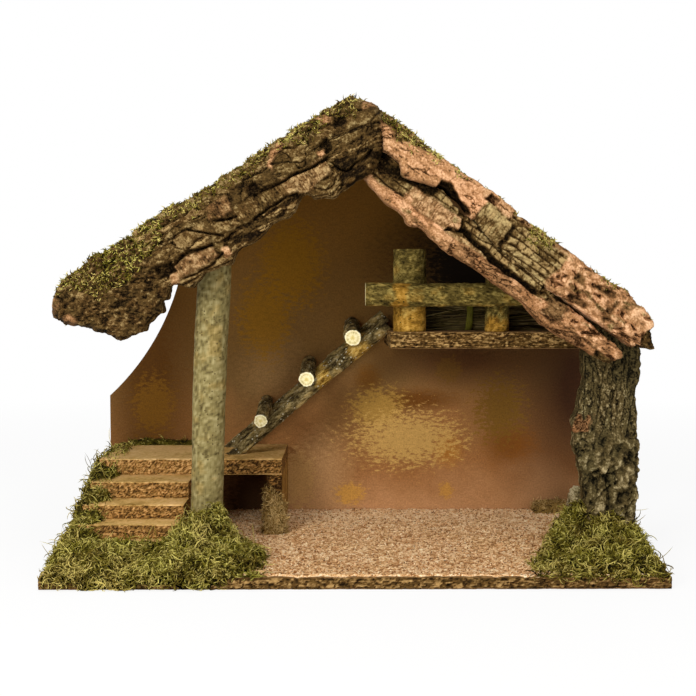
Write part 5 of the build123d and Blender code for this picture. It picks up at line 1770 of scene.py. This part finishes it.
def left_bark() -> CorkSlab:
    """The slab along the front of the left slope, with the furrows of the model."""
    ledge = (
        (-20, -20), (34, -19.4), (48, -19), (60, -17.6), (72, -16.6), (88, -15.2), (98, -19), (104, -20.4),
        (111, -19), (117, -16), (121, -17), (127, -27.5), (135, -26.5), (148, -25.2), (158, -27), (168, -27),
    )
    clefts = (
        ledge[1:6], ledge[7:10], ((126, -28.5), *ledge[12:15], (165, -29)),
        ((62, -28.6), (70, -27), (80, -26.4), (90, -27.6), (100, -28.8), (112, -28.6), (119, -31)),
        ((116, -28), (121, -24), (125, -20.5), (130, -16.5), (135, -12)),
        ((118, -33), (125, -36.3), (131, -38.2), (141, -39), (152, -38.2)),
        ((6, -30), (20, -31.5), (31, -29), (34, -22)),
    )
    return CorkSlab(
        "roof_bark_left", Side.LEFT, front=-70.0, seed=11,
        top=((-13, 3.5), (0, 4.2), (60, 4.2), (72, 3.2), (115, 2.4), (128, 3), (139, 4.6), (165, 4.6),
             (180, 3.8), (212, 4), (222, 3), (240, 2)),
        bottom=(
            (-13, -40), (13, -42), (22, -43), (30, -40.5), (40, -38), (45, -36), (49, -33.5), (57, -32.5),
            (60, -36.5), (63, -38.5), (72, -37.5), (82, -37.8), (95, -40), (105, -39.5), (118, -41),
            (124, -45), (130, -43.5), (140, -42), (155, -43), (162, -44.5), (167, -40.5), (173, -38),
            (179, -40.5), (184, -43.8), (190, -43.2), (192.5, -46.8), (200, -48.2), (208, -49.3),
            (213, -50.6), (242, -50.6),
        ),
        start=((-50, 20), (-44, 15.8), (-31.6, -1.9), (-14.5, -12.3), (-1.7, -8), (5.5, -1), (8, 1)),
        tip=((-52, 211), (-50, 213), (-46, 215), (-41, 218.5), (-38, 222), (-32, 226), (-27, 232), (-22, 238),
             (-17, 240), (-12, 241.5), (-8, 239), (-4, 235), (0, 230), (2.5, 225.5), (5, 220)),
        zones=(
            Zone(Bark.FURROWED, size=0.85),
            Zone(Bark.LUMPY, (167, 300), lift=0.8, soft=4.0, shade=-0.07, size=0.8),
            Zone(Bark.FURROWED, (-40, 166), (0, 90), lift=4.0, soft=0.8, line=ledge),
            Zone(Bark.LUMPY, (-30, 32), (-9, 30), lift=3.5, soft=2.0),
            Zone(Bark.LAYERED, (-30, 33), (-60, -19.5), lift=2.4, shade=-0.06),
            Zone(Bark.LAYERED, (60, 120), (-60, -29), lift=-0.4, soft=1.0),
            Zone(Bark.HATCHED, (66, 113), (-27, -16), lift=0.8, shade=0.06, soft=1.0),
            Zone(Bark.HATCHED, (36, 68), (-6, 6.5), lift=2.0, salmon=0.15, shade=0.16, soft=0.9,
                 line=((36, -23), (44, -24.5), (52, -25.6), (62, -24), (68, -21))),
            Zone(Bark.HATCHED, (103, 119), (-18, -6), lift=4.2, salmon=0.22, soft=0.9),
            Zone(Bark.HATCHED, (109, 130), (-5, 4.5), lift=2.6, shade=0.12, soft=0.9,
                 line=((109, -24), (118, -20.5), (129, -15))),
            Zone(Bark.HATCHED, (127, 156), (-37.5, -27.5), lift=1.8, salmon=0.26, shade=0.06, soft=0.9),
            # Clefts: painted shade along each crevice, over the bark's own dark colour there
            *(
                Zone(Bark.LUMPY, (line[0][0], line[-1][0]), (-1.3, 0.1), lift=-2.2, shade=-0.42, soft=0.8,
                     line=line)
                for line in clefts
            ),
            # Hollows: painted shade in each, over the bark's own dark colour there
            Zone(Bark.LUMPY, (156, 166), (-31, -23), lift=-3.4, shade=-0.55),
            Zone(Bark.LUMPY, (82, 90), (-15, -8.5), lift=-0.5, shade=-0.5, soft=1.4),
            Zone(Bark.LUMPY, (27, 35), (-18, -9), shade=-0.5, soft=1.4),
            Zone(Bark.LUMPY, (11, 18), (-7, -2), lift=1.0, shade=-0.4, soft=1.4),
            Zone(Bark.FLAKED, (54, 68), (-2.4, 2.4), lift=4.4, salmon=0.65, shade=-0.05, soft=1.4,
                 line=((54, 3.5), (61, 0.5), (68, -7))),
            Zone(Bark.FLAKED, (33, 38), (-18, -14), lift=3.6, salmon=0.8, soft=0.8),
            Zone(Bark.FLAKED, (-11, -6), (-30, -16), lift=2.4, salmon=0.8, soft=0.9),
            Zone(Bark.FLAKED, (-10, -3), (-7, 0), lift=3.6, salmon=0.6, shade=-0.1),
            Zone(Bark.FLAKED, (20, 26), (-1, 4), lift=4.0, salmon=0.5, shade=-0.1),
            Zone(Bark.FLAKED, (119, 124), (-41, -34), lift=1.6, salmon=0.7, shade=0.1, soft=0.8),
            Zone(Bark.FLAKED, (156, 161), (-40, -31), lift=1.6, salmon=0.5, soft=0.8),
            Zone(Bark.PITTED, (229, 236), (-25, -19), lift=1.0, salmon=0.7),
            Zone(Bark.PITTED, (232, 242), (-13, -4), lift=1.0, salmon=0.4, shade=0.1),
        ),
    )


def right_bark() -> list[CorkSlab]:
    """The two slabs along the front of the right slope, which meet along a seam."""
    seam = (
        (31, -12), (36, -17.5), (42, -16.5), (57, -11.5), (75, -10.5), (90, -13.5), (104, -16.5),
        (129, -20.5), (147, -22), (170, -22),
    )
    grown = ((14, -3), (22, 1), (30, 0), (36, -3.5), (41, -0.5), (50, 0.5), (60, 2.5), (72, 5.5))
    overhang = ((73, -7), (78, -5.5), (88, -7.5), (93, -10), (102, -14.5))
    upper = CorkSlab(
        "roof_bark_right_upper", Side.RIGHT, front=-70.0, seed=23, rounding=2.0, ragged=0.6, spacing=0.55,
        top=((16, 5.5), (35, 5.5), (60, 4.4), (80, 4.2), (100, 6), (120, 5.6), (140, 4), (180, 4.4),
             (200, 3.4), (230, 4.6), (238, 2.5), (250, 0.0)),
        bottom=seam + ((185, -21), (214, -20.6), (241, -20.4)),
        start=((-20, 34), (-12, 31), (5.7, 18.1), (9, 16)),
        tip=((-24, 241), (-20.5, 241.5), (-17.5, 242), (-16.5, 247), (-8, 247.6), (-4, 244), (0, 241),
             (4, 236)),
        zones=(
            Zone(Bark.BLOCKY, shade=0.16),
            Zone(Bark.HATCHED, (100, 129), (-40, -1), shade=0.3, size=1.3, lift=0.5, soft=1.0),
            Zone(Bark.FLAKED, (0, 106), lift=2.6, salmon=1.0, soft=0.9),
            # Painted shadow under the overhanging salmon flake
            Zone(Bark.LUMPY, (74, 101), (-30, 0), lift=-3.6, shade=-0.6, soft=0.8, line=overhang),
            Zone(Bark.LUMPY, (0, 72), (0, 90), lift=2.4, salmon=0.15, line=grown),
            Zone(Bark.FLAKED, (99, 127), (0.5, 90), lift=2.0, salmon=0.85, shade=0.05),
            # Dark crevice: painted shade in it
            Zone(Bark.LUMPY, (129, 131.5), (-40, -2), lift=-1.8, shade=-0.4, soft=0.8),
            Zone(Bark.PITTED, (104, 112), (0, 5), lift=-1.5, salmon=0.7, shade=-0.3, soft=0.9),
            Zone(Bark.FLAKED, (131, 172), (1.5, 90), lift=0.8, salmon=0.45, shade=-0.1, soft=1.5),
            Zone(Bark.PITTED, (170, 300), lift=1.2, salmon=0.92, shade=0.14, soft=1.6),
            Zone(Bark.LUMPY, (182, 190), (-8, -2), lift=0.4, salmon=0.2, shade=-0.15, soft=1.5),
            Zone(Bark.LUMPY, (197, 209), (-4, 0), lift=0.4, salmon=0.3, shade=-0.1, soft=1.5),
            Zone(Bark.LUMPY, (211, 215), (-19, -3), lift=0.4, salmon=0.35, shade=-0.1, soft=1.5),
            # Dark hollow: painted shade in it
            Zone(Bark.LUMPY, (185, 198), (-20, -16), lift=-1.5, salmon=0.4, shade=-0.3),
            Zone(Bark.LUMPY, (242, 300), (-40, -1), lift=-1.0, shade=-0.1, soft=0.8),
            Zone(Bark.LUMPY, across=(13, 90), salmon=0.15, soft=5.0),
        ),
    )
    slit = (
        (96, -28.6), (99, -26.6), (103, -24.6), (112, -25.8), (120, -27), (130, -28), (150, -28.8),
        (168, -28.5),
    )
    lower = CorkSlab(
        "roof_bark_right_lower", Side.RIGHT, front=-64.0, seed=37, capped=False, rounding=2.0, ragged=0.6,
        spacing=0.55,
        top=((31, -11), (40, -13), *seam[3:], (185, -23.5), (200, -25), (222, -25.6), (240, -27.5)),
        bottom=(
            (31, -33), (40, -36), (50, -38), (66, -38.6), (70, -41), (74, -41), (78, -38.6), (90, -39),
            (100, -40), (115, -40), (125, -38.6), (150, -38.6), (170, -39.2), (180, -41.8), (200, -42.2),
            (212, -41), (222, -39), (235, -38.6), (240, -36.5),
        ),
        start=((-44, 33), (-31.7, 32), (-12, 31), (-8, 30)),
        tip=((-39, 235), (-37.5, 236.5), (-33, 237.5), (-29, 239.6), (-26.5, 237.5), (-25, 234)),
        zones=(
            Zone(Bark.LUMPY, shade=-0.05),
            Zone(Bark.BLOCKY, (30, 64), (-31, -19), shade=0.02, soft=1.5),
            # Painted shadow that the upper slab's flake casts below the seam, over the darker bark there
            Zone(Bark.LUMPY, (30, 78), (-8.5, 40), lift=-2.0, shade=-0.4, line=seam),
            Zone(Bark.BLOCKY, (75, 96), (-20, 40), lift=0.4, shade=0.14, size=1.2),
            Zone(Bark.HATCHED, (62, 98), (-30, -18.5), lift=0.8, salmon=0.45, shade=0.22, soft=1.5),
            Zone(Bark.FLAKED, (0, 112), (-80, -30.5), lift=1.4, salmon=0.95, shade=-0.04, soft=1.0),
            Zone(Bark.FLAKED, (60, 67), (-34, -26), lift=1.8, salmon=0.9),
            Zone(Bark.FLAKED, (70, 86), (-36.5, -30), lift=2.2, salmon=1.0, shade=-0.14, soft=0.8),
            Zone(Bark.FLAKED, (108, 180), (-80, -30), lift=1.0, salmon=0.85, shade=-0.2, soft=1.0),
            Zone(Bark.HATCHED, (97, 128), (-31, -28), lift=1.2, salmon=0.2, shade=0.3, soft=0.8),
            Zone(Bark.BLOCKY, (103, 169), (0, 40), lift=4.6, shade=0.16, soft=0.8, line=slit),
            # Black slit: painted shadow in it
            Zone(Bark.LUMPY, (96, 168), (-1.8, 1.0), lift=-3.5, shade=-0.6, soft=0.7, line=slit),
            Zone(Bark.FLAKED, (94, 101), (-27, -18), lift=3.6, salmon=0.6, shade=0.2, soft=0.8),
            Zone(Bark.PITTED, (189, 300), (-35, 0), lift=2.4, salmon=0.95, shade=0.12),
            Zone(Bark.FLAKED, (176, 222), (-80, -35.5), lift=0.4, salmon=0.9, shade=-0.3),
            Zone(Bark.LAYERED, (177, 190), (-38, -25), lift=3.0, salmon=0.35, shade=0.12,
                 size=0.8),
        ),
    )
    return [upper, lower]


def right_post() -> CorkPost:
    """The upright cork slab under the right slope, with its knob and its salmon chip."""
    inner_side, outer_side = 150.0, 199.0
    tops = [(x, float(roof_underside(np.array(x))) - 0.3) for x in (inner_side, outer_side)]
    return CorkPost(
        "right_post", Side.RIGHT, front=-38.0, back=-14.0, capped=False, seed=41, rounding=0.0, bulge=1.0,
        top=((8, 194), (60, 196), (110, 196), (130, 194.5), (170, 197)),
        bottom=(
            (8, 161), (40, 161), (47, 160), (54, 158), (61, 158), (66, 155.6), (71, 156), (78, 152),
            (87, 151.6), (97, 152.2), (107, 152.8), (114, 155), (126, 157.5), (147, 158), (195, 158),
        ),
        start=((inner_side, 8), (outer_side, 8)),
        tip=tuple(tops),
        zones=(
            Zone(Bark.FURROWED, shade=-0.1, size=0.55),
            Zone(Bark.FURROWED, (126, 300), (100, 300), soft=8.0, shade=-0.22, size=0.55),
            Zone(Bark.LUMPY, (0, 90), (100, 300), lift=0.4, soft=8.0, shade=-0.04, size=1.5),
            Zone(Bark.LUMPY, (80, 100), (100, 166), lift=1.2, soft=1.5, shade=0.04, size=0.6),
            Zone(Bark.FLAKED, (93, 104), (-7, 5), lift=1.6, salmon=1.0, shade=-0.25, soft=0.8,
                 line=((92, 156), (105, 161))),
        ),
    )


def branches() -> list[Branch]:
    """Posts, ladder and loft rail, with the sizes and places of the model."""
    found = [
        Branch("left_post", (-104.5, -34.0, 8.0), (-94.2, -34.0, 262.0), (22.0, 23.4), HAZEL_BARK, 51,
               rough=0.2, knots=5, blotch=0.05),
        Branch("loft_post_left", (40.4, 0.0, LOFT), (40.4, 0.0, 219.0), (23.6, 23.6), LICHEN_BARK, 52,
               wander=0.0, accents=((0.1, 0.32),), blotch=0.2),
        Branch("loft_post_right", (103.4, -3.2, LOFT), (103.4, -3.2, 250.0), (17.2, 17.2), LICHEN_BARK, 53,
               wander=0.0, accents=((0.0, 0.12),), blotch=0.12),
        Branch("loft_rail", (8.0, -17.5, 186.6), (132.6, -17.5, 186.6), (16.4, 16.4), LICHEN_BARK, 54,
               accents=((0.2, 0.05),), blotch=0.15),
    ]
    head, foot = np.array((26.0, 164.5)), np.array((-90.0, LANDING))
    run = (head - foot) / np.linalg.norm(head - foot)
    up = np.array((-run[1], run[0]))
    front_y, rear_y, lift, tilt = 42.0, 80.0, 5.6, math.tan(math.radians(8.4))
    rails = (("ladder_rail_front", front_y, 0.0, 55), ("ladder_rail_rear", rear_y, lift, 56))
    for name, y, raised, seed in rails:
        low = foot - run * (9.0 + raised / run[1])
        start, end = (low[0], y, low[1] + raised), (head[0], y, head[1] + raised)
        found.append(Branch(name, start, end, (9.0, 11.2), TWIG_BARK, seed, floor=LANDING,
                            accents=((0.82, 0.06), (0.6, 0.05)), rough=0.5))
    for number, along, diameter, off in ((3, 26.0, 12.4, 10.65), (2, 73.0, 11.2, 9.7), (1, 120.0, 10.0, 8.7)):
        spot = head - run * along + up * off
        start, end = ((spot[0], front_y + reach, spot[1] + reach * tilt) for reach in (-11.0, 50.0))
        found.append(Branch(f"ladder_rung_{number}", start, end, (diameter, diameter), TWIG_BARK, 56 + number,
                            wander=0.2, rough=0.45))
    return found


def boards() -> list[Board]:
    """Base, stair, landing and loft boards."""
    stair = "stair_chipboard"
    # Painted light on the landing's lit left part and painted shade on its right; painted shade on the
    # support in the niche
    painted_light_and_shade, shaded = ((-200, 0.1), (-120, 0.1), (-96, -0.1), (-40, -0.14)), ((-90, -0.42), (-40, -0.42))
    return [
        Board("base_board", STAINED_CHIPBOARD, "base_chipboard", 31, spacing=0.9, coarse=7.0, chip=0.7,
              chip_size=(6.0, 1.2)),
        *(Board(f"step_{number}", CHIPBOARD, stair, 31 + number) for number in (1, 2, 3, 4)),
        Board("landing_board", CHIPBOARD, stair, 36, light_and_tone_shift=painted_light_and_shade),
        Board("landing_support", CHIPBOARD, stair, 37, light_and_tone_shift=shaded, faced_ends=True),
        Board("loft_board", STAINED_CHIPBOARD, stair, 39, spacing=0.65, chip_size=(7.0, 0.7),
              light_and_tone_shift=((0, 0.13), (150, 0.13))),
    ]


def moss_beds() -> list[MossBed]:
    """Clumps of moss on the floor and on the landing."""
    edge = 198.0
    left = MossBed(
        "moss_left_front", seed=91,
        front=((-edge, -98), (-120, -98), (-90, -98), (-72, -96), (-60, -78)),
        back=((-edge, -50), (-122, -50), (-116, -44), (-92, -40), (-76, -40), (-60, -52)),
        front_height=((-edge, 6), (-120, 7), (-95, 8), (-60, 3)),
        back_height=((-edge, 17), (-150, 14), (-122, 18), (-108, 32), (-94, 30), (-78, 12), (-60, 3)),
        tufts=((CUSHION, 7400), (TANGLE, 2000), (STEMS, 60), (SPLINTER, 7)),
        drape=((-edge, 6.5), (-120, 6), (-92, 4), (-72, 0), (-60, 0)),
    )
    stair = [box_mm(f"step_{number}") for number in (1, 2, 3, 4)] + [box_mm("landing_board")]
    climb = [
        (low[1] + side, high[2] - FLOOR - 7.0 * (side < 0)) for low, high in stair for side in (-1.5, 1.5)
    ]
    flank = MossBed(
        "moss_left_flank", seed=92,
        front=((-edge, -64), (-186, -66), (-180, -62), (-172, -58)), back=((-edge, 95), (-172, 95)),
        front_height=((-edge, 0), (-172, 0)), back_height=((-edge, 0), (-172, 0)),
        tufts=((CUSHION, 4600), (TANGLE, 1600), (STEMS, 40)), climb=tuple(climb),
    )
    right = MossBed(
        "moss_right", seed=93, open_back=True,
        front=((115, -94), (126, -97), (150, -98), (edge, -98)),
        back=((115, -72), (126, -50), (140, -24), (150, -14), (edge, -10)),
        front_height=((115, 0.5), (134, 2), (150, 7), (edge, 6)),
        back_height=((115, 1), (130, 3), (142, 14), (156, 27), (185, 29), (edge, 20)),
        tufts=((CUSHION, 6400), (TANGLE, 1800), (STEMS, 40)),
        drape=((113, 0), (140, 0.5), (edge, 2)),
    )
    small = []
    for node, floor, growth, count, seed, finish in (
        ("moss_niche", FLOOR, STRAW, 1700, 94, DRY_GRASS), ("moss_landing", LANDING, SCRAP, 200, 95, MOSS),
        ("moss_back", FLOOR, STRAW, 420, 96, DRY_GRASS),
    ):
        low, high = box_mm(node)
        ends = (low[0], high[0])
        rise = high[2] - low[2] - 3.0
        small.append(MossBed(
            node, seed=seed, floor=floor, open_back=node == "moss_niche",
            front=tuple((x, low[1]) for x in ends), back=tuple((x, high[1]) for x in ends),
            front_height=tuple((x, 0.7 * rise) for x in ends), back_height=tuple((x, rise) for x in ends),
            tufts=((growth, count),), litter=0.5 if growth is STRAW else 0.1, finish=finish,
        ))
    return [left, flank, right, *small]


def roof_moss(slabs: dict[str, CorkSlab]) -> list[RoofMoss]:
    """Moss mats of the two slopes, with how far down the bark each one grows.

    Args:
        slabs: The built slabs of cork, by node.

    Returns:
        The two mats.
    """
    left_limit = (
        (-13, -2), (-4, -4), (8, -6), (16, -2), (24, -1.5), (31, -6), (44, -6), (50, -1), (66, -1), (72, -4),
        (80, -2), (98, -1), (116, -1.5), (124, -9), (136, -4), (150, -5), (160, -13), (172, -17), (186, -17),
        (210, -18), (217, -10), (226, -5), (236, -3),
    )
    right_limit = (
        (14, -4), (22, -1), (30, -2), (36, -5), (42, -2.5), (50, -1.5), (60, 1), (70, 3), (85, 4), (95, 7),
        (120, 7), (139, 3), (143, -4), (150, -5.5), (156, -3), (161, 3.5), (200, 3.5), (212, 6), (250, 6),
    )
    left, right = slabs["roof_bark_left"], slabs["roof_bark_right_upper"]
    return [
        RoofMoss("roof_moss_left", Side.LEFT, left, left_limit, mat=6400, fringe=10400, seed=97),
        RoofMoss("roof_moss_right", Side.RIGHT, right, right_limit, mat=6400, fringe=11400, seed=98),
    ]


def main() -> None:
    """Builds the stable's pieces in order."""
    logging.basicConfig(level=logging.INFO, format="%(message)s")
    Studio().build()
    CarriedNodes().dress()
    slabs = {slab.node: slab for slab in (left_bark(), *right_bark(), right_post())}
    for slab in slabs.values():
        slab.build()
    wood, ground = (*branches(), *boards()), (SawdustFloor(), *moss_beds())
    for piece in (*wood, *ground, BrushwoodBundle(), GroundStone(), *roof_moss(slabs)):
        piece.build()


if __name__ == "__main__":
    main()
